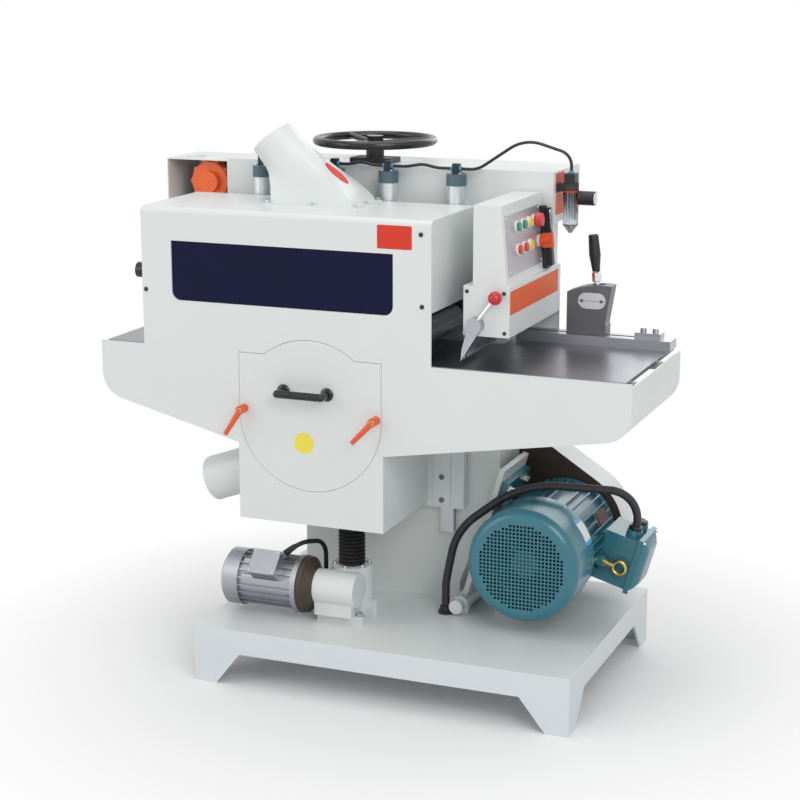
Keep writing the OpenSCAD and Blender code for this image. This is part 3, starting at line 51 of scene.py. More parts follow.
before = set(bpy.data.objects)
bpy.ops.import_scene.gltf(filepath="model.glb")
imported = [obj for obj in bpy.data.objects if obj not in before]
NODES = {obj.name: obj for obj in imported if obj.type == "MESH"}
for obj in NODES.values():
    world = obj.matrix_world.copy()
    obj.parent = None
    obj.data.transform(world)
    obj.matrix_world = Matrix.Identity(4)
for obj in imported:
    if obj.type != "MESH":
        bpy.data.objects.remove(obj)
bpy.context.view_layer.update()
MM = 0.001
X, Y, Z = Vector((1, 0, 0)), Vector((0, 1, 0)), Vector((0, 0, 1))


def mm(*values):
    """A point or a size in millimetres, in Blender's metres."""
    return Vector(values) * MM


def linear(code):
    """An sRGB hex value as linear red, green, blue and alpha."""
    parts = [int(code[i:i + 2], 16) / 255 for i in (1, 3, 5)]
    return [c / 12.92 if c <= 0.04045 else ((c + 0.055) / 1.055) ** 2.4 for c in parts] + [1.0]


def add(tree, kind, inputs=(), **settings):
    """Add one shader node, with its settings, and with inputs that are values or links."""
    node = tree.nodes.new(kind)
    for name, value in settings.items():
        setattr(node, name, value)
    for name, value in dict(inputs).items():
        if isinstance(value, bpy.types.NodeSocket):
            tree.links.new(value, node.inputs[name])
        else:
            node.inputs[name].default_value = value
    return node


def finish(name, colour, rough, grain_mm, bump_mm, metal=0.0, drift=0.05, drift_mm=160.0, streak=(1, 1, 1),
           rough_swing=0.06, **extra):
    """A surface with slow colour drift and a fine grain in its bump and roughness. Sizes are real millimetres."""
    material = bpy.data.materials.new(name)
    material.use_nodes = True
    tree = material.node_tree
    tree.nodes.clear()
    place = add(tree, "ShaderNodeTexCoord").outputs["Object"]
    stretched = add(tree, "ShaderNodeMapping", {"Vector": place, "Scale": streak}).outputs["Vector"]
    fine = add(tree, "ShaderNodeTexNoise", {"Vector": stretched, "Scale": 1 / (grain_mm * MM), "Detail": 3.0})
    slow = add(tree, "ShaderNodeTexNoise", {"Vector": place, "Scale": 1 / (drift_mm * MM), "Detail": 2.0})
    base = linear(colour)
    dark = [c * (1 - drift) for c in base[:3]] + [1.0]
    light = [min(c * (1 + drift), 1.0) for c in base[:3]] + [1.0]
    tint = add(tree, "ShaderNodeMix", {0: slow.outputs["Fac"], 6: dark, 7: light}, data_type="RGBA")
    gloss = add(tree, "ShaderNodeMapRange", {"Value": fine.outputs["Fac"], "To Min": max(rough - rough_swing, 0.02),
                                             "To Max": rough + rough_swing})
    relief = add(tree, "ShaderNodeBump", {"Height": fine.outputs["Fac"], "Distance": bump_mm * MM, "Strength": 0.6})
    shader = add(tree, "ShaderNodeBsdfPrincipled", {
        "Base Color": tint.outputs[2], "Roughness": gloss.outputs["Result"], "Normal": relief.outputs["Normal"],
        "Metallic": metal, **extra})
    add(tree, "ShaderNodeOutputMaterial", {"Surface": shader.outputs["BSDF"]})
    return material


class SawFinishes(bpy.types.PropertyGroup):
    """Colours of the machine, as sRGB hex values."""
    paint: bpy.props.StringProperty(name="Body paint", description="Powder coat of the sheet metal",
                                    default="#DFE3E2")
    base: bpy.props.StringProperty(name="Base paint", description="Powder coat of the base", default="#DDE2E6")
    motor: bpy.props.StringProperty(name="Motor paint", description="Enamel of the main motor", default="#3A7888")
    lever: bpy.props.StringProperty(name="Levers", description="Nylon of the clamp levers", default="#E2592F")
    window: bpy.props.StringProperty(name="Window", description="Tinted acrylic of the hood's window",
                                     default="#0E1038")


class SawSizes(bpy.types.PropertyGroup):
    """Sizes that a user may change."""
    bolt: bpy.props.FloatProperty(name="Bolt head", description="Width of a hexagon head", default=16 * MM,
                                  min=0.008, max=0.024, unit="LENGTH", subtype="DISTANCE")
    hole: bpy.props.FloatProperty(name="Grille hole", description="Side of a hole in the fan grille",
                                  default=6.4 * MM, min=0.003, max=0.009, unit="LENGTH", subtype="DISTANCE")
    rib: bpy.props.FloatProperty(name="Conduit rib", description="Distance between the conduit's ribs",
                                 default=5 * MM, min=0.003, max=0.01, unit="LENGTH", subtype="DISTANCE")


FINISH = {}


def mix_finishes(colours):
    """Every material of the machine, made once."""
    # Powder coat: an even, slightly glossy skin with a faint orange peel.
    FINISH["powder_coat"] = finish("powder_coat_white", colours.paint, 0.36, 2.2, 0.05, drift=0.02)
    FINISH["powder_coat_base"] = finish("powder_coat_base", colours.base, 0.42, 2.2, 0.05, drift=0.02)
    # Brushed-on motor enamel over cast iron: glossy, with a coarse waviness.
    FINISH["motor_enamel"] = finish("motor_enamel", colours.motor, 0.22, 5.0, 0.12, drift=0.08)
    FINISH["reducer_enamel"] = finish("reducer_enamel", "#F06A2A", 0.34, 4.0, 0.12, drift=0.06)
    # Ground steel: long grinding marks along the feed, drawn wider than real so that they show.
    FINISH["ground_table"] = finish("ground_steel_table", "#8B8C93", 0.30, 5.0, 0.03, metal=1.0, drift=0.16,
                                    drift_mm=70, streak=(0.05, 1, 1), rough_swing=0.10)
    FINISH["ground_steel"] = finish("ground_steel", "#B4B5BA", 0.32, 3.0, 0.03, metal=1.0, drift=0.08,
                                    streak=(0.1, 1, 1))
    # Turned and plated steel: bright, with a very fine texture.
    FINISH["zinc_plate"] = finish("zinc_plated_steel", "#C9CCCF", 0.28, 1.5, 0.02, metal=1.0)
    FINISH["chrome"] = finish("chromed_steel", "#DCDEE2", 0.10, 2.0, 0.005, metal=1.0, rough_swing=0.02)
    # Grey cast iron, machined and oiled: dull, with open grain.
    FINISH["cast_iron"] = finish("cast_iron", "#77787C", 0.46, 2.5, 0.10, metal=0.85, drift=0.10)
    # Die-cast aluminium: pale, with a sandy skin.
    FINISH["cast_aluminium"] = finish("cast_aluminium", "#A6A9AE", 0.38, 1.8, 0.06, metal=0.9, drift=0.06)
    # Anodised cylinder tubes: satin and nearly white, between end caps in blue-grey enamel.
    FINISH["anodised"] = finish("anodised_aluminium", "#D9DCDF", 0.30, 1.0, 0.01, metal=0.55, drift=0.02)
    FINISH["end_cap"] = finish("painted_end_cap", "#4E6672", 0.42, 2.0, 0.05, drift=0.05)
    # Old primer on the lift motor's flange: matt brown. The same dark brown is painted shade on the belt guard's front
    # faces.
    FINISH["primer_and_painted_shade"] = finish("brown_primer_and_painted_shade", "#4C4038", 0.55, 3.0, 0.12, metal=0.3, drift=0.18, drift_mm=25)
    # Bronze of the worm wheel, and brass of the eye bolt and the levers' inserts: warm and bright.
    FINISH["bronze"] = finish("bronze", "#B08D57", 0.34, 2.0, 0.03, metal=1.0)
    FINISH["brass"] = finish("brass_plate", "#C9B06A", 0.22, 2.0, 0.02, metal=1.0)
    # Moulded plastics: fine spark-eroded texture on ABS, a gloss on phenolic.
    FINISH["black_abs"] = finish("abs_black", "#1E1E20", 0.45, 0.8, 0.03, drift=0.04)
    FINISH["black_gloss"] = finish("phenolic_black", "#141416", 0.22, 4.0, 0.02, drift=0.04)
    # Painted highlight: the buttons' chrome bezels are plain white plastic, standing in for the glint on their chrome.
    FINISH["bezel_highlight_white"] = finish("painted_bezel_highlight", "#EDEDEA", 0.35, 0.8, 0.02, drift=0.02)
    FINISH["nylon_orange"] = finish("nylon_orange", colours.lever, 0.40, 1.0, 0.04, drift=0.04)
    FINISH["phenolic_red"] = finish("phenolic_red", "#C2272F", 0.16, 5.0, 0.01, drift=0.03)
    FINISH["button_green"] = finish("button_green", "#1F8A6E", 0.30, 1.0, 0.01, drift=0.03)
    FINISH["button_red"] = finish("button_red", "#D63A36", 0.30, 1.0, 0.01, drift=0.03)
    FINISH["lamp_yellow"] = finish("lamp_yellow", "#F0D968", 0.22, 1.0, 0.01, drift=0.03)
    # Rubber and soft vinyl: dull black with a little bloom.
    FINISH["rubber"] = finish("black_rubber", "#1B1B1C", 0.62, 1.5, 0.05, drift=0.12, drift_mm=30)
    FINISH["conduit"] = finish("nylon_conduit", "#26262A", 0.48, 1.0, 0.03, drift=0.08, drift_mm=40)
    FINISH["tube"] = finish("polyurethane_tube", "#17181C", 0.26, 2.0, 0.01, drift=0.04)
    # Printed film, left blank.
    FINISH["film_orange"] = finish("film_orange", "#E8622C", 0.45, 2.0, 0.005, drift=0.04, drift_mm=60,
                                   **{"Specular IOR Level": 0.25})
    FINISH["film_red"] = finish("film_red", "#D8402F", 0.45, 2.0, 0.005, drift=0.04, drift_mm=60,
                                **{"Specular IOR Level": 0.25})
    FINISH["film_yellow"] = finish("film_yellow", "#F0E04E", 0.32, 2.0, 0.005, drift=0.03, drift_mm=60)
    FINISH["film_white"] = finish("film_white", "#E6E8EC", 0.32, 2.0, 0.005, drift=0.03, drift_mm=60)
    FINISH["film_blue"] = finish("film_blue", "#4FA3D8", 0.32, 2.0, 0.005, drift=0.03, drift_mm=60)
    # Rating plates, left blank: brushed aluminium with fine lines, and a dark red enamelled one.
    FINISH["name_plate"] = finish("brushed_plate", "#B9B4BC", 0.34, 2.0, 0.02, metal=0.6, drift=0.05,
                                  streak=(1, 0.1, 1))
    FINISH["dark_plate"] = finish("dark_red_plate", "#43171A", 0.45, 2.0, 0.02, drift=0.06,
                                  **{"Specular IOR Level": 0.25})
    # Tinted acrylic: dark blue, smooth, and partly clear.
    FINISH["acrylic"] = finish("acrylic_navy", colours.window, 0.06, 20.0, 0.01, drift=0.10, rough_swing=0.02,
                               **{"Transmission Weight": 0.10, "IOR": 1.49, "Specular IOR Level": 0.12})
    FINISH["bowl"] = finish("polycarbonate_clear", "#DCE4EA", 0.08, 10.0, 0.005, drift=0.02, rough_swing=0.02,
                            **{"Transmission Weight": 0.85, "IOR": 1.58})


def dress(node, base, *rules):
    """Give a CAD node its finish. Each rule is (finish, test of a face's centre in millimetres and normal)."""
    obj = NODES[node]
    obj.data.materials.clear()
    obj.data.materials.append(FINISH[base])
    for name, _ in rules:
        obj.data.materials.append(FINISH[name])
    for face in obj.data.polygons:
        centre = face.center / MM
        face.material_index = next((i for i, (_, test) in enumerate(rules, 1) if test(centre, face.normal)), 0)


def put(name, bm, material, body, sharp=35):
    """Make a piece from a bmesh, with smooth faces and sharp corners, that rides on a body."""
    mesh = bpy.data.meshes.new(name)
    bmesh.ops.recalc_face_normals(bm, faces=bm.faces)
    bm.to_mesh(mesh)
    bm.free()
    mesh.materials.append(FINISH[material])
    mesh.polygons.foreach_set("use_smooth", [True] * len(mesh.polygons))
    mesh.set_sharp_from_angle(angle=math.radians(sharp))
    obj = bpy.data.objects.new(name, mesh)
    bpy.context.scene.collection.objects.link(obj)
    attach(obj, body)
    return obj


def upright(axis):
    """The turn that takes Z to an axis."""
    return Vector(axis).to_track_quat("Z", "Y").to_matrix().to_4x4()


def lathe(bm, profile, place, axis, sides=32, closed=False):
    """Turn a profile of (radius, height) in millimetres about an axis through a place in millimetres."""
    turn = Matrix.Translation(mm(*place)) @ upright(axis)
    angles = [2 * math.pi * k / sides for k in range(sides)]
    rings = []
    for radius, height in profile:
        if radius <= 0:
            rings.append([bm.verts.new(turn @ mm(0, 0, height))])
        else:
            rings.append([bm.verts.new(turn @ mm(radius * math.cos(a), radius * math.sin(a), height))
                          for a in angles])
    for low, high in zip(rings, rings[1:] + rings[:closed]):
        for k in range(sides):
            n = (k + 1) % sides
            if len(low) == 1 and len(high) > 1:
                bm.faces.new((low[0], high[k], high[n]))
            elif len(high) == 1 and len(low) > 1:
                bm.faces.new((low[k], low[n], high[0]))
            elif len(low) > 1:
                bm.faces.new((low[k], low[n], high[n], high[k]))


def hex_head(bm, place, axis, width, height, washer=True):
    """A hexagon head with a chamfered top, on a washer."""
    r, foot, chamfer = width / math.sqrt(3), 1.0, 1.2
    if washer:
        disc, thick = r * 1.35, 1.2
        lathe(bm, [(0, 0), (disc, 0), (disc, thick), (0, thick)], place, axis, 20)
    lathe(bm, [(0, foot), (r, foot), (r, height - chamfer), (r * 0.86, height), (0, height)], place, axis, 6)


def cap_head(bm, place, axis, radius, height):
    """A round socket head with its recess."""
    socket, floor = radius * 0.55, height * 0.4
    lathe(bm, [(0, 0), (radius, 0), (radius, height * 0.85), (radius * 0.9, height), (socket, height),
               (socket, floor), (0, floor)], place, axis, 18)


def dome_head(bm, place, axis, radius, height):
    """A low domed head."""
    lathe(bm, [(0, 0), (radius, 0), (radius * 0.92, height * 0.5), (radius * 0.6, height * 0.9), (0, height)],
          place, axis, 18)


def plinth(bm, place, across, up, layers, round_mm):
    """A plate of layers (width, height, depth) with round corners, whose foot lies on a place in millimetres."""
    across, up = Vector(across).normalized(), Vector(up).normalized()
    out = across.cross(up)
    rings = []
    for width, height, depth in layers:
        ring = []
        for sx, sy, start in ((1, 1, 0), (-1, 1, 90), (-1, -1, 180), (1, -1, 270)):
            for k in range(7):
                a = math.radians(start + 15 * k)
                x = sx * (width / 2 - round_mm) + round_mm * math.cos(a)
                y = sy * (height / 2 - round_mm) + round_mm * math.sin(a)
                ring.append(bm.verts.new(mm(*place) + (across * x + up * y + out * depth) * MM))
        rings.append(ring)
    skin(bm, rings)
    bm.faces.new(rings[-1])
    bm.faces.new(list(reversed(rings[0])))


def slab(bm, place, across, up, size, thick, round_mm):
    """A thin plate with round corners and a softened edge."""
    w, h = size
    edge = min(0.6 * thick, 1.0)
    plinth(bm, place, across, up, [(w, h, 0), (w, h, thick - edge), (w - edge, h - edge, thick)], round_mm)


def screws(name, head, places, axis, size, material, body):
    """Screw heads of one kind and size as one piece."""
    bm = bmesh.new()
    for place in places:
        head(bm, place, axis, *size)
    put(name, bm, material, body)


def flat_plate(name, place, across, up, size, thick, round_mm, material, body):
    """A plate or a film as a piece of its own."""
    bm = bmesh.new()
    slab(bm, place, across, up, size, thick, round_mm)
    put(name, bm, material, body)


def turned(name, profile, place, axis, sides, material, body, closed=False):
    """A turned ring or cap as a piece of its own."""
    bm = bmesh.new()
    lathe(bm, profile, place, axis, sides, closed)
    put(name, bm, material, body)


def skin(bm, rings, closed=False):
    """Faces between rings of as many points each."""
    n = len(rings[0])
    for low, high in zip(rings, rings[1:] + rings[:closed]):
        for k in range(n):
            bm.faces.new((low[k], low[(k + 1) % n], high[(k + 1) % n], high[k]))


def rounded(points, radii, step=4.0):
    """The same route as the solids follow, with its corners rounded to bend radii, in metres."""
    p = [Vector(q) for q in points]
    out = [p[0]]
    for a, b, c, r in zip(p, p[1:], p[2:], radii):
        u, v = (a - b).normalized(), (c - b).normalized()
        half = u.angle(v) / 2
        middle = b + r / math.sin(half) * (u + v).normalized()
        e = (b + r / math.tan(half) * u - middle) / r
        turn = math.pi - 2 * half
        n = max(2, math.ceil(turn * r / step))
        out += [middle + r * (math.cos(turn * k / n) * e - math.sin(turn * k / n) * u) for k in range(n + 1)]
    out.append(p[-1])
    return [q * MM for q in out]


def resample(points, step):
    """Points at an even distance along a line of points, both in metres."""
    total = run_length(points)
    count = max(2, round(total / step))
    out, along, i = [], 0.0, 0
    for k in range(count + 1):
        target = total * k / count
        while i < len(points) - 2 and along + (points[i + 1] - points[i]).length < target:
            along += (points[i + 1] - points[i]).length
            i += 1
        leg = (points[i + 1] - points[i]).length
        out.append(points[i].lerp(points[i + 1], min((target - along) / leg, 1.0)))
    return out


def run_length(points):
    """Length of a line of points."""
    return sum((b - a).length for a, b in zip(points, points[1:]))


def sweep(bm, points, radius_at, sides):
    """A tube along points, whose radius in metres may change with the distance along it."""
    rings, along = [], 0.0
    normal = None
    for i, here in enumerate(points):
        ahead = (points[min(i + 1, len(points) - 1)] - points[max(i - 1, 0)]).normalized()
        if normal is None:
            normal = ahead.orthogonal().normalized()
        normal = (normal - ahead * normal.dot(ahead)).normalized()
        other = ahead.cross(normal)
        if i:
            along += (here - points[i - 1]).length
        r = radius_at(along)
        rings.append([bm.verts.new(here + (normal * math.cos(a) + other * math.sin(a)) * r)
                      for a in (2 * math.pi * k / sides for k in range(sides))])
    skin(bm, rings)
    bm.faces.new(list(reversed(rings[0])))
    bm.faces.new(rings[-1])


def lay(name, path, radius_at, sides, material, body, node, sharp=35):
    """A cable or a tube along a path, in the place of its plain solid."""
    bm = bmesh.new()
    sweep(bm, path, radius_at, sides)
    cord = put(name, bm, material, body, sharp)
    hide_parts(node)


# Places taken from the solids, in millimetres. First the faces that small pieces stand on, and a film's thickness
FRONT = -252
BASE_TOP = 150
JACK_FOOT_TOP = 172
JACK_TOP = 286
HOOD_FLANGE = (1216, 1220)
INFEED_FRONT = -195
FILM = 0.5

# Axes of the saws, the jack, the lift motor, the main motor and the feed drive
SPINDLE_X = -222
JACK_X, JACK_Y = -165, -120
LIFT_Y, LIFT_Z = -195, 240
LIFT_FACE = Vector((0, -math.sqrt(0.5), math.sqrt(0.5)))
MOTOR = Vector((309, 0, 340))
TILT = math.radians(106)
FEED_X, FEED_Z = -722, 1228

# The lift motor's lead, from its leaning gland to a gland in the base
LEAD_THICK = 12
LIFT_OUT = Vector((math.sin(math.radians(45)), 0, math.cos(math.radians(45))))
LIFT_MOUTH = Vector((-334, -215, 300)) + 34.3 * LIFT_OUT
LEAD_FOOT = (-246, -106, BASE_TOP)
LIFT_ROUTE = [LIFT_MOUTH, LIFT_MOUTH + 48 * LIFT_OUT, (-246, -106, 335), LEAD_FOOT]
LIFT_BENDS = (48, 48)

# The air tubes, from cylinder to cylinder and to the air unit
TUBE_THICK = 8
CYLINDERS = (-509, -298, -146, 42)
TEE_Y, TEE_Z = 88, 1305
TEE_HALF = 9.3
ARCH = 8
AIR_X, AIR_Y = 326, 160

# The hood's duct: a square foot, and a round pipe that leans over
DUCT_FOOT = (-280, -28, 1218)
DUCT_HALF = (115, 72)
DUCT_BOLTS = (121, 78)
DUCT_MOUTH = Vector((-420, -28, 1380))
DUCT_R, DUCT_WALL, DUCT_PIPE = 60, 3, 40
DUCT_LEAN = math.radians(-38)
DUCT_ACROSS = Vector((math.cos(DUCT_LEAN), 0, -math.sin(DUCT_LEAN)))
DUCT_OUT = Vector((math.sin(DUCT_LEAN), 0, math.cos(DUCT_LEAN)))


def motor_way(x, y, z):
    """A direction of the main motor's own upright frame, in the machine's frame."""
    return Vector((x * math.cos(TILT) + z * math.sin(TILT), y, -x * math.sin(TILT) + z * math.cos(TILT)))


def motor_point(x, y, z):
    """A point of the main motor's own upright frame, in the machine's frame."""
    return MOTOR + motor_way(x, y, z)


# The main motor's conduit, from its terminal box over the motor to a gland in the base
CONDUIT_THICK = 22
GLAND = motor_point(-98, 150, 194)
CONDUIT_FOOT = (64, -30, BASE_TOP)
CONDUIT_ROUTE = [GLAND, GLAND + 105 * motor_way(-1, 0, 0), (270, -25, 524), (92, -30, 380), (64, -30, 235),
                 CONDUIT_FOOT]
CONDUIT_BENDS = (92, 200, 180, 200)


def air_routes():
    """The air tubes from tee to tee, and from the last tee to the air unit, with their bends."""
    for a, b in zip(CYLINDERS, CYLINDERS[1:]):
        a, b = a + TEE_HALF, b - TEE_HALF
        q = (b - a) / 4
        yield [(a, TEE_Y, TEE_Z), (a + q, TEE_Y, TEE_Z), ((a + b) / 2, TEE_Y, TEE_Z + ARCH), (b - q, TEE_Y, TEE_Z),
               (b, TEE_Y, TEE_Z)], (80, 70, 80)
    yield [(CYLINDERS[-1] + TEE_HALF, TEE_Y, TEE_Z), (100, TEE_Y, TEE_Z), (215, 118, TEE_Z + 80),
           (AIR_X, AIR_Y, TEE_Z + 40), (AIR_X, AIR_Y, 1298.3)], (60, 90, 40)


# The operator panel's foot and lean
PANEL_X, PANEL_Z = 278, 1056
PANEL_COS, PANEL_SIN = math.cos(math.radians(5)), math.sin(math.radians(5))
PANEL_OUT = Vector((PANEL_COS, 0, PANEL_SIN))
PANEL_UP = Vector((-PANEL_SIN, 0, PANEL_COS))


def panel_point(out, y, up):
    """A point of the leaning operator panel: its distance out of the panel, along Y and up the panel."""
    return Vector((PANEL_X + out * PANEL_COS - up * PANEL_SIN, y, PANEL_Z + out * PANEL_SIN + up * PANEL_COS))


class SAW_OT_cords(bpy.types.Operator):
    """Lay the lift motor's cable, the main motor's conduit and the air tubes"""
    bl_idname = "saw.cords"
    bl_label = "Cables and tubes"

    def execute(self, context):
        path = resample(rounded(LIFT_ROUTE, LIFT_BENDS), 8 * MM)
        lay("lift_motor_lead", path, lambda s: LEAD_THICK / 2 * MM, 20, "rubber", "frame",
            "lift_motor_cable")
        root, taper, points = 9.2, 70, 5
        bm = bmesh.new()
        sweep(bm, path[:points], lambda s: (root - taper * s) * MM, 20)
        put("lead_strain_relief", bm, "rubber", "frame")
        rib, depth = context.scene.saw_sizes.rib, 1.4
        path = resample(rounded(CONDUIT_ROUTE, CONDUIT_BENDS), rib / 6)

        def ribbed(s):
            return (CONDUIT_THICK / 2 - depth * (0.5 - 0.5 * math.cos(2 * math.pi * s / rib)) ** 2) * MM

        lay("ribbed_conduit", path, ribbed, 16, "conduit", "frame",
            "main_motor_conduit", sharp=80)
        for i, (points, bends) in enumerate(air_routes(), 1):
            lay(f"air_tube_{i}", resample(rounded(points, bends), 5 * MM), lambda s: TUBE_THICK / 2 * MM, 12,
                "tube", "head", "air_tubes")
        return {"FINISHED"}


class SAW_OT_bellows(bpy.types.Operator):
    """Fold the bellows over the jack screw"""
    bl_idname = "saw.bellows"
    bl_label = "Screw bellows"

    def execute(self, context):
        low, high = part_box("screw_bellows")
        middle = (low + high) / 2 / MM
        folds, parts, inner, outer, wall = 12, 8, 28.5, 35.8, 1.4
        height = (high.z - low.z) / MM
        outside, inside = [], []
        for i in range(folds * parts + 1):
            wave = 0.5 - 0.5 * math.cos(2 * math.pi * i / parts)
            at = i * height / (folds * parts)
            outside.append((inner + (outer - inner) * wave ** 0.7, at))
            inside.append((inner - wall + (outer - inner) * wave ** 0.7, at))
        bm = bmesh.new()
        lathe(bm, outside + inside[::-1], (middle.x, middle.y, low.z / MM), Z, 48, closed=True)
        sleeve = put("jack_bellows", bm, "rubber", "frame", sharp=60)
        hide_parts("screw_bellows")
        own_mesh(sleeve)
        return {"FINISHED"}


class SAW_OT_dust_port(bpy.types.Operator):
    """Bend the hood's dust port from its square foot to its round mouth"""
    bl_idname = "saw.dust_port"
    bl_label = "Hood dust port"

    def execute(self, context):
        bm = bmesh.new()
        n, steps = 64, 14
        walls = [[self.ring(bm, n, k / steps, inset) for k in range(steps + 1)] + [self.mouth_ring(bm, n, inset)]
                 for inset in (0, DUCT_WALL)]
        skin(bm, walls[0] + walls[1][::-1], closed=True)
        self.flange(bm)
        duct = put("hood_duct", bm, "powder_coat", "table", sharp=50)
        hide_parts("hood_dust_port")
        places = [(DUCT_FOOT[0] + i * DUCT_BOLTS[0], DUCT_FOOT[1] + j * DUCT_BOLTS[1], HOOD_FLANGE[1])
                  for j in (-1, 1, 0) for i in (-1, 0, 1) if i or j]
        screws("duct_bolts", hex_head, places, Z, (10, 6), "zinc_plate", "table")
        self.film()
        return {"FINISHED"}

    @staticmethod
    def flange(bm):
        """The flat frame under the duct's foot."""
        low, high = HOOD_FLANGE
        outer, inner = (129, 86), (100, 57)
        loops = []
        for (w, h), z in ((outer, low), (outer, high), (inner, high), (inner, low)):
            loops.append([bm.verts.new(mm(DUCT_FOOT[0] + sx * w, DUCT_FOOT[1] + sy * h, z))
                          for sx, sy in ((1, -1), (1, 1), (-1, 1), (-1, -1))])
        skin(bm, loops, closed=True)

    def film(self):
        """A blank oval film on the duct's slope."""
        bm = bmesh.new()
        up, around, half_up, half_around, thick = 0.46, -0.07, 0.125, 0.3, 0.5
        turns = [2 * math.pi * k / 32 for k in range(32)]
        rings = []
        for share, depth in ((0.4, -thick), (0.7, -thick), (1, -thick), (1, thick), (0.7, thick), (0.4, thick)):
            rings.append([bm.verts.new(self.shell(up + half_up * share * math.cos(q),
                                                  around + half_around * share * math.sin(q), depth) * MM)
                          for q in turns])
        skin(bm, rings)
        bm.faces.new(rings[0])
        bm.faces.new(rings[-1])
        put("duct_film", bm, "film_red", "table")

    @staticmethod
    def turns(n):
        """Angles round the duct, from a corner of its foot."""
        return [2 * math.pi * k / n - math.pi / 4 for k in range(n)]

    def mouth_ring(self, bm, n, inset):
        """The rim at the pipe's mouth."""
        r = DUCT_R - inset
        return [bm.verts.new((DUCT_MOUTH + r * (math.cos(a) * DUCT_ACROSS + math.sin(a) * Y)) * MM)
                for a in self.turns(n)]

    def ring(self, bm, n, t, inset):
        """One ring round the duct."""
        return [bm.verts.new(self.shell(t, a, inset) * MM) for a in self.turns(n)]

    @staticmethod
    def shell(t, a, inset):
        """A point of the duct's skin. It leaves the foot upright and meets the pipe along its axis."""
        foot_pull, pipe_pull = 90, 110
        h = (2 * t ** 3 - 3 * t ** 2 + 1, t ** 3 - 2 * t ** 2 + t, 3 * t ** 2 - 2 * t ** 3, t ** 3 - t ** 2)
        c, s = math.cos(a), math.sin(a)
        wide = 1 / max(abs(c), abs(s))
        foot = Vector((DUCT_FOOT[0] + (DUCT_HALF[0] - inset) * c * wide,
                       DUCT_FOOT[1] + (DUCT_HALF[1] - inset) * s * wide, DUCT_FOOT[2]))
        end = DUCT_MOUTH - DUCT_PIPE * DUCT_OUT + (DUCT_R - inset) * (c * DUCT_ACROSS + s * Y)
        return h[0] * foot + h[1] * foot_pull * Z + h[2] * end + h[3] * pipe_pull * DUCT_OUT


class SAW_OT_fan_grille(bpy.types.Operator):
    """Press the fan cover and pierce its grille"""
    bl_idname = "saw.fan_grille"
    bl_label = "Fan cover"
    # The cover's outer radius, its flat front, its length and its sheet
    RADIUS, FLAT, LENGTH, SHEET = 147, 121, 150, 2.5
    # The grille: the opening it covers, how far it and its holes reach, its sheet, and a hole's share of the pitch
    OPENING, REACH, PIERCED, GRILLE_SHEET, HOLE_SHARE = 115.5, 119.5, 112, 1.6, 0.66
    GRILLE_Y = -148.7

    def execute(self, context):
        length, seat, round_r = self.LENGTH, 8, self.RADIUS - self.FLAT
        turns = [math.radians(a) for a in range(0, 91, 9)]
        bends = [[(self.FLAT + r * math.sin(a), round_r - r * math.cos(a)) for a in turns]
                 for r in (round_r, round_r - self.SHEET)]
        inner = self.RADIUS - self.SHEET
        rim = [(self.RADIUS, length - seat), (self.RADIUS, length), (inner, length), (inner, length - seat)]
        bm = bmesh.new()
        lathe(bm, [(self.OPENING, 0)] + bends[0] + rim + bends[1][::-1] + [(self.OPENING, self.SHEET)],
              (MOTOR.x, -length, MOTOR.z), Y, 96, closed=True)
        self.pierce(bm, context.scene.saw_sizes.hole / MM)
        cover = put("pressed_fan_cover", bm, "motor_enamel", "frame", sharp=40)
        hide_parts("fan_cover")
        # Painted shade: a ring that closes the gap behind the fan cover, so the gap reads dark instead of showing the
        # bright floor through the fins.
        turned("gap_shade_ring", [(105, 0), (142.5, 0), (142.5, 3), (105, 3)], (MOTOR.x, -3.2, MOTOR.z), Y, 64,
               "motor_enamel", "frame", closed=True)
        bm = bmesh.new()
        for a in (62, 152, 242, 332):
            way = Vector((math.cos(math.radians(a)), 0, math.sin(math.radians(a))))
            dome_head(bm, MOTOR + (self.RADIUS - 0.2) * way - 9 * Y, way, 5, 2.6)
        put("cover_screws", bm, "zinc_plate", "frame")
        for name, material, spans in (("fan_label", "film_white", ((21, 41),)),
                                      ("fan_label_ends", "film_blue", ((17, 21), (41, 45)))):
            bm = bmesh.new()
            for low, high in spans:
                self.wrap(bm, low, high, -47, -4)
            put(name, bm, material, "frame")
        return {"FINISHED"}

    def pierce(self, bm, hole):
        """The flat front of the cover: a sheet with square holes as far as the pierced radius."""
        pitch = hole / self.HOLE_SHARE
        n = int(self.REACH / pitch) + 1
        lines = [i * pitch + side * hole / 2 for i in range(-n, n + 1) for side in (-1, 1)]
        corners, sheet = {}, []

        def corner(i, j):
            if (i, j) not in corners:
                corners[i, j] = bm.verts.new(mm(MOTOR.x + lines[i], self.GRILLE_Y, MOTOR.z + lines[j]))
            return corners[i, j]

        for i in range(len(lines) - 1):
            for j in range(len(lines) - 1):
                away = math.hypot(lines[i] + lines[i + 1], lines[j] + lines[j + 1]) / 2
                if away < self.REACH and not (i % 2 == 0 and j % 2 == 0 and away < self.PIERCED):
                    square = corner(i, j), corner(i + 1, j), corner(i + 1, j + 1), corner(i, j + 1)
                    sheet.append(bm.faces.new(square))
        bm.normal_update()
        bmesh.ops.solidify(bm, geom=sheet, thickness=-self.GRILLE_SHEET * MM)

    def wrap(self, bm, low, high, y0, y1):
        """A blank film wrapped round the cover between two angles."""
        inner, outer, parts = self.RADIUS + 0.05, self.RADIUS + 0.4, 8
        angles = [math.radians(low + (high - low) * k / parts) for k in range(parts + 1)]
        rows = [[bm.verts.new((MOTOR + Vector((r * math.cos(a), y, r * math.sin(a)))) * MM) for a in angles]
                for r, y in ((inner, y0), (inner, y1), (outer, y1), (outer, y0))]
        for one, two in zip(rows, rows[1:] + rows[:1]):
            for k in range(parts):
                bm.faces.new((one[k], one[k + 1], two[k + 1], two[k]))
        for k in (0, parts):
            bm.faces.new([row[k] for row in rows])


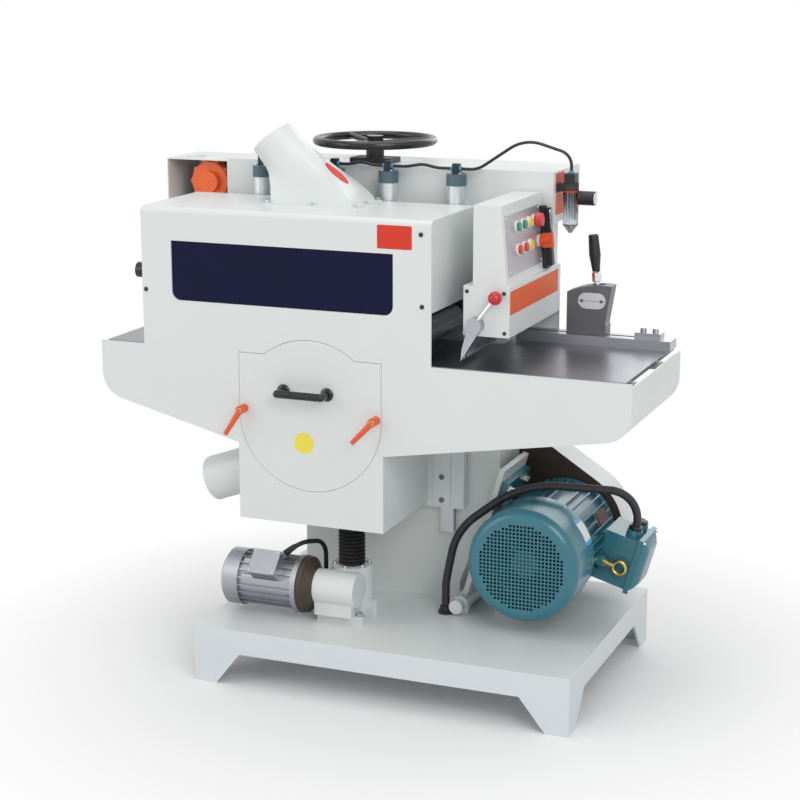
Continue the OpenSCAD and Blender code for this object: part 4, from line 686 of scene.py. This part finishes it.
class SAW_OT_motor_fittings(bpy.types.Operator):
    """Fit the terminal lid, glands, bolts and plates of the motors and the jack"""
    bl_idname = "saw.motor_fittings"
    bl_label = "Motor fittings"

    def execute(self, context):
        across, out = motor_way(1, 0, 0), motor_way(0, 0, 1)
        bolt = context.scene.saw_sizes.bolt / MM
        bm = bmesh.new()
        plinth(bm, motor_point(-11, 180, 231.9), across, Y, [(136, 122, 0), (132, 118, 5), (100, 86, 16)], 10)
        put("terminal_lid", bm, "motor_enamel", "frame")
        bm = bmesh.new()
        for x in (-81, 59):
            for y in (117, 243):
                cap_head(bm, motor_point(x, y, 232), out, 4, 5)
        for x in (-107, 107):
            for y in (40, 170):
                hex_head(bm, motor_point(x, y, -132), out, bolt * 1.4, 13)
        for k in range(6):
            a = math.radians(60 * k + 30)
            cap_head(bm, (JACK_X + 45 * math.cos(a), JACK_Y + 45 * math.sin(a), JACK_TOP), Z, 5, 6)
        for x, y in ((-214, -54), (-113, -54), (-111, -194)):
            hex_head(bm, (x, y, JACK_FOOT_TOP), Z, bolt, 9)
        put("motor_bolts", bm, "zinc_plate", "frame")
        bm = bmesh.new()
        lathe(bm, [(11.3, 0), (19.5, 0), (19.5, 8), (17, 11), (11.3, 11)], GLAND, -across, 6, closed=True)
        lathe(bm, [(0, 0), (18, 0), (18, 6), (15.5, 9), (0, 9)], motor_point(-98, 210, 194), -across, 6)
        lathe(bm, [(11.3, 0), (20, 0), (20, 7), (16, 9), (15, 20), (11.3, 22)], CONDUIT_FOOT, Z, 24, closed=True)
        lathe(bm, [(6.3, 0), (13, 0), (13, 5), (9.5, 7), (7.2, 26), (6.3, 26)], LEAD_FOOT, Z, 20, closed=True)
        put("cable_glands", bm, "black_abs", "frame")
        turned("hinge_pin_cap", [(0, 0), (19, 0), (19, 3.5), (17, 5), (0, 5)], (97.7, -44, 174), -Y, 32,
               "powder_coat", "frame")
        a = math.radians(28.5)
        flat_plate("motor_plate_blank", MOTOR + Vector((141.3 * math.cos(a), 145, 141.3 * math.sin(a))),
                   (-math.sin(a), 0, math.cos(a)), -Y, (36, 78), 2.5, 3, "dark_plate", "frame")
        flat_plate("lift_motor_plate", Vector((-408, LIFT_Y, LIFT_Z)) + 60.5 * LIFT_FACE, X, (0, 1, 1), (34, 44), 5, 3,
                   "name_plate", "frame")
        lid = Vector((0, LIFT_Y, LIFT_Z)) + 102 * LIFT_FACE
        places = [lid + x * X + side * math.sqrt(0.5) * (Y + Z) for x in (-381, -317) for side in (-29, 29)]
        screws("lift_lid_screws", cap_head, places, LIFT_FACE, (3, 2.5), "zinc_plate", "frame")
        return {"FINISHED"}


class SAW_OT_hood_fittings(bpy.types.Operator):
    """Fit the screws, films and plates of the hood, the table unit and the in-feed box"""
    bl_idname = "saw.hood_fittings"
    bl_label = "Hood and table fittings"

    def execute(self, context):
        screws("hood_screws", dome_head, [(x, FRONT, z) for x, z in ((78, 1182), (81, 1006), (-680, 1001))], -Y,
               (6, 3.5), "black_abs", "table")
        flat_plate("hood_film", (9, FRONT, 1172), X, Z, (91, 58), FILM, 4, "film_red", "table")
        bm = bmesh.new()
        for x in (-293, -173):
            lathe(bm, [(10.2, 0), (17, 0), (17, 3), (14, 6), (10.2, 7)], (x, FRONT, 766), -Y, 28, closed=True)
        put("handle_feet", bm, "black_gloss", "door")
        for side, body in ((-1, "clamp_left"), (1, "clamp_right")):
            turned(f"{body}_insert", [(0, 0), (8, 0), (7, 2.5), (4, 2.5), (4, 1), (0, 1)],
                   (SPINDLE_X + side * 182, FRONT - 30, 712), -Y, 24, "brass", body)
        flat_plate("gib_strip", (20, 56, 491), X, Z, (48, 152), 5, 2, "powder_coat", "table")
        screws("gib_bolts", cap_head, [(20, 51, z) for z in (495, 432)], -Y, (7, 4), "cast_iron", "table")
        screws("infeed_screws", dome_head, [(x, INFEED_FRONT, z) for x, z in ((176, 1042), (271, 1042), (273, 944))],
               -Y, (5, 3), "black_abs", "head")
        flat_plate("infeed_film", (285, 2, 1017), Y, Z, (384, 58), FILM, 3, "film_orange", "head")
        for name, material, z in (("beam_film_upper", "film_red", 1271), ("beam_film_lower", "film_orange", 1217)):
            flat_plate(name, (292, 175, z), Y, Z, (72, 52), FILM, 2, material, "head")
        flat_plate("carriage_plate", (386, 166, 972), X, Z, (74, 42), 3, 20.9, "anodised", "carriage")
        screws("carriage_screws", cap_head, [(x, 163, 972) for x in (360, 412)], -Y, (4, 3), "cast_iron", "carriage")
        return {"FINISHED"}


class SAW_OT_head_fittings(bpy.types.Operator):
    """Fit the air fittings, the panel's screws and the handle's plate"""
    bl_idname = "saw.head_fittings"
    bl_label = "Feed head fittings"

    def execute(self, context):
        bm = bmesh.new()
        ring = [(4.2, 0), (7, 0), (7, 4.5), (6, 5.5), (4.2, 5.5)]
        for i, x in enumerate(CYLINDERS):
            lathe(bm, ring, (x + 9, TEE_Y, TEE_Z), X, 20, closed=True)
            if i:
                lathe(bm, ring, (x - 9, TEE_Y, TEE_Z), -X, 20, closed=True)
        lathe(bm, ring, (AIR_X, AIR_Y, 1298), Z, 20, closed=True)
        put("push_rings", bm, "film_blue", "head")
        bm = bmesh.new()
        for x in CYLINDERS:
            for z, way in ((1292, Z), (1110, -Z)):
                for a in (math.radians(d) for d in (45, 135, 225, 315)):
                    hex_head(bm, (x + 19 * math.cos(a), TEE_Y + 19 * math.sin(a), z), way, 6, 4, washer=False)
        put("cylinder_nuts", bm, "zinc_plate", "head")
        turned("regulator_ring", [(19.6, 0), (21, 0), (21, 4), (19.6, 4)], (AIR_X, AIR_Y, 1250), Z, 32, "film_red",
               "head", closed=True)
        turned("regulator_cap", [(0, 0), (15.5, 0), (15.5, 0.8), (14.5, 1.2), (0, 1.2)], (390, AIR_Y, 1236), X, 32,
               "film_white", "knob")
        screws("panel_screws", dome_head, [panel_point(2, y, up) for y in (-168, 77) for up in (31, 163)], PANEL_OUT,
               (3.6, 2), "zinc_plate", "head")
        bm = bmesh.new()
        slab(bm, panel_point(25.7, 99, 124), Y, PANEL_UP, (6, 44), 0.8, 2.9)
        dome_head(bm, panel_point(25.7, 99, 148), PANEL_OUT, 6.5, 2.5)
        put("swing_plate", bm, "zinc_plate", "swing")
        return {"FINISHED"}


class SAW_OT_finishes(bpy.types.Operator):
    """Give every solid its finish"""
    bl_idname = "saw.finishes"
    bl_label = "Finishes"

    def execute(self, context):
        mix_finishes(context.scene.saw_finishes)
        plain = {
            "powder_coat": "column jack_gearbox motor_plate motor_hinge front_panel apron_trays lower_box "
                           "table_saddle hood_dust_port infeed_box",
            "motor_enamel": "main_motor_housing fan_cover",
            "ground_table": "table_plate",
            "ground_steel": "column_guides fence_rail jack_screw saw_spindle saw_blades feed_roller_1 "
                            "feed_roller_2 feed_roller_3 feed_roller_4",
            "cast_iron": "spindle_housing fence_carriage roller_carrier_1 roller_carrier_2 roller_carrier_3 "
                         "roller_carrier_4",
            "acrylic": "hood_window",
            "bronze": "jack_worm_wheel",
            "rubber": "drive_belts",
            "black_abs": "swing_handle regulator_knob",
            "nylon_orange": "clamp_lever_left clamp_lever_right selector_knob",
            "button_green": "start_button_1 start_button_2",
            "button_red": "stop_button_1 stop_button_2 emergency_stop",
        }
        for name, nodes in plain.items():
            for node in nodes.split():
                dress(node, name)
        # Painted light: the base's top faces take the glossier body paint, and its sides take the base paint, so that
        # the top reads brighter.
        dress("base_frame", "powder_coat_base", ("powder_coat", lambda c, n: n.z > 0.9 and c.z > 149))
        dress("motor_rotor", "ground_steel", ("motor_enamel", lambda c, n: c.y < -10))
        # Painted shade: the belt guard's front faces take the dark brown primer, standing in for the shade inside the
        # guard's open front.
        dress("belt_guard", "powder_coat", ("primer_and_painted_shade", lambda c, n: n.y < -0.9))
        dress("hood_shell", "powder_coat", ("black_gloss", lambda c, n: c.x < -690.5))
        dress("feed_beam", "powder_coat", ("black_abs", lambda c, n: c.z > 1302.5))
        dress("lift_motor", "cast_aluminium", ("primer_and_painted_shade", lambda c, n: c.x > -262.9))
        dress("main_terminal_box", "motor_enamel", ("brass", lambda c, n: c.y < 107))
        dress("front_door", "powder_coat", ("film_yellow", lambda c, n: c.y < -252.2 and c.z < 680),
              ("black_gloss", lambda c, n: c.y < -252.5))
        dress("fence_handle", "black_abs", ("chrome", lambda c, n: c.z < 1046))
        dress("kickback_gate", "ground_steel", ("phenolic_red", lambda c, n: c.z > 1013),
              ("chrome", lambda c, n: c.z > 983))
        dress("handwheel", "black_gloss", ("zinc_plate", lambda c, n: c.z < 1335))
        dress("air_cylinders", "anodised", ("end_cap", lambda c, n: 1261 < c.z < 1293 and c.y < 116),
              ("end_cap", lambda c, n: c.z < 1141), ("powder_coat", lambda c, n: c.y > 112),
              ("black_abs", lambda c, n: c.z > 1292))
        # The bezels' plain white is a painted highlight in place of chrome.
        dress("control_box", "powder_coat", ("lamp_yellow", self.lamp), ("bezel_highlight_white", self.bezel),
              ("black_abs", self.tray), ("name_plate", self.plate))
        dress("filter_regulator", "black_abs", ("bowl", lambda c, n: 1165 < c.z < 1214),
              ("zinc_plate", lambda c, n: c.z <= 1165))
        dress("feed_drive", "powder_coat", ("reducer_enamel", self.reducer), ("motor_enamel", self.feed_motor))
        return {"FINISHED"}

    @staticmethod
    def panel(c):
        """A point's distance out of the operator panel, across it and up it."""
        x, z = c.x - PANEL_X, c.z - PANEL_Z
        return x * PANEL_COS + z * PANEL_SIN, c.y, z * PANEL_COS - x * PANEL_SIN

    def lamp(self, c, n):
        out, across, up = self.panel(c)
        return out > 1 and any(math.hypot(across + 10, up - row) < 11.7 for row in (136, 80))

    def bezel(self, c, n):
        out, across, _ = self.panel(c)
        return out > 2.2 and across < 85

    def tray(self, c, n):
        out, across, _ = self.panel(c)
        return out > 0.5 and across > 85

    def plate(self, c, n):
        return self.panel(c)[0] > 0.5

    @staticmethod
    def reducer(c, n):
        return math.hypot(c.x - FEED_X, c.z - FEED_Z) < 63 and c.y < 229

    @staticmethod
    def feed_motor(c, n):
        return math.hypot(c.x - FEED_X, c.z - FEED_Z) < 47 and c.y < 341


def shown(tree):
    """1 where the camera looks, straight or by a shiny or clear surface, and 0 for other light."""
    rays = add(tree, "ShaderNodeLightPath").outputs
    seen = add(tree, "ShaderNodeMath", {0: rays["Is Camera Ray"], 1: rays["Is Glossy Ray"]}, operation="MAXIMUM")
    seen = add(tree, "ShaderNodeMath", {0: seen.outputs[0], 1: rays["Is Transmission Ray"]}, operation="MAXIMUM")
    return seen.outputs[0]


class SAW_OT_stage(bpy.types.Operator):
    """Set the floor, the lights and the camera"""
    bl_idname = "saw.stage"
    bl_label = "Stage"

    def execute(self, context):
        scene = context.scene
        scene.view_settings.view_transform = "Standard"
        self.floor(scene)
        self.world(scene)
        lamps = (
            ("key", (2.9, -3.3, 3.4), 2.6, 86, (0, 0, 0.75)),
            ("fill", (-3.2, -2.6, 2.2), 2.8, 40, (0, 0, 0.7)),
            ("top", (0.0, -0.3, 4.2), 3.0, 42, (0, 0, 0.6)),
            ("back", (0.6, 3.6, 2.6), 2.4, 30, (0, 0, 0.8)),
        )
        for name, place, size, power, target in lamps:
            light = bpy.data.lights.new(name, "AREA")
            light.energy, light.size = power, size
            lamp = bpy.data.objects.new(name, light)
            lamp.location = place
            lamp.rotation_euler = (Vector(target) - Vector(place)).to_track_quat("-Z", "Y").to_euler()
            scene.collection.objects.link(lamp)
        # The photograph's place, angle and frame, solved from the base's straight edges
        lens = bpy.data.cameras.new("photo_camera")
        lens.sensor_width, lens.lens = 36.0, 85.08
        lens.clip_end = 60.0
        camera = bpy.data.objects.new("photo_camera", lens)
        camera.location = (1.72377, -4.45147, 1.83349)
        camera.rotation_euler = (math.radians(76.7886), 0, math.radians(22.0385))
        scene.collection.objects.link(camera)
        scene.camera = camera
        return {"FINISHED"}

    @staticmethod
    def floor(scene):
        """A pale floor that keeps the shadow near the machine and fades to plain white further out."""
        mesh = bpy.data.meshes.new("studio_floor")
        reach = 14.0
        mesh.from_pydata([(-reach, -reach, 0), (reach, -reach, 0), (reach, reach, 0), (-reach, reach, 0)], [],
                         [(0, 1, 2, 3)])
        obj = bpy.data.objects.new("studio_floor", mesh)
        scene.collection.objects.link(obj)
        material = bpy.data.materials.new("studio_floor")
        material.use_nodes = True
        tree = material.node_tree
        tree.nodes.clear()
        place = add(tree, "ShaderNodeTexCoord").outputs["Object"]
        away = add(tree, "ShaderNodeVectorMath", {0: place}, operation="LENGTH").outputs["Value"]
        fade = add(tree, "ShaderNodeMapRange", {"Value": away, "From Min": 0.55, "From Max": 1.35})
        share = add(tree, "ShaderNodeMath", {0: fade.outputs["Result"], 1: shown(tree)}, operation="MULTIPLY")
        matt = add(tree, "ShaderNodeBsdfDiffuse", {"Color": linear("#F2F2F2")})
        white = add(tree, "ShaderNodeEmission", {"Color": (1, 1, 1, 1), "Strength": 1.0})
        both = add(tree, "ShaderNodeMixShader", {0: share.outputs[0], 1: matt.outputs[0], 2: white.outputs[0]})
        add(tree, "ShaderNodeOutputMaterial", {"Surface": both.outputs[0]})
        mesh.materials.append(material)

    @staticmethod
    def world(scene):
        """White where the camera or a shiny surface sees it, and softer as a light."""
        world = bpy.data.worlds.new("studio")
        scene.world = world
        world.use_nodes = True
        tree = world.node_tree
        tree.nodes.clear()
        soft = add(tree, "ShaderNodeBackground", {"Color": (1, 1, 1, 1), "Strength": 0.42})
        white = add(tree, "ShaderNodeBackground", {"Color": (1, 1, 1, 1), "Strength": 1.0})
        both = add(tree, "ShaderNodeMixShader", {0: shown(tree), 1: soft.outputs[0], 2: white.outputs[0]})
        add(tree, "ShaderNodeOutputWorld", {"Surface": both.outputs[0]})


class SAW_PT_panel(bpy.types.Panel):
    """Lists the machine's finishes, sizes and pieces"""
    bl_label = "Multi rip saw"
    bl_idname = "SAW_PT_panel"
    bl_space_type = "VIEW_3D"
    bl_region_type = "UI"
    bl_category = "Rip saw"

    def draw(self, context):
        for group in (context.scene.saw_finishes, context.scene.saw_sizes):
            for name in group.bl_rna.properties.keys():
                if name not in ("rna_type", "name"):
                    self.layout.prop(group, name)
        for operator in OPERATORS:
            self.layout.operator(operator.bl_idname)


OPERATORS = (SAW_OT_finishes, SAW_OT_cords, SAW_OT_bellows, SAW_OT_dust_port, SAW_OT_fan_grille,
             SAW_OT_motor_fittings, SAW_OT_hood_fittings, SAW_OT_head_fittings, SAW_OT_stage)
CLASSES = (SawFinishes, SawSizes) + OPERATORS + (SAW_PT_panel,)


def register():
    for cls in CLASSES:
        bpy.utils.register_class(cls)
    bpy.types.Scene.saw_finishes = bpy.props.PointerProperty(type=SawFinishes)
    bpy.types.Scene.saw_sizes = bpy.props.PointerProperty(type=SawSizes)


def unregister():
    del bpy.types.Scene.saw_sizes
    del bpy.types.Scene.saw_finishes
    for cls in reversed(CLASSES):
        bpy.utils.unregister_class(cls)


def main():
    register()
    for operator in OPERATORS:
        group, name = operator.bl_idname.split(".")
        getattr(getattr(bpy.ops, group), name)()


if __name__ == "__main__":
    main()
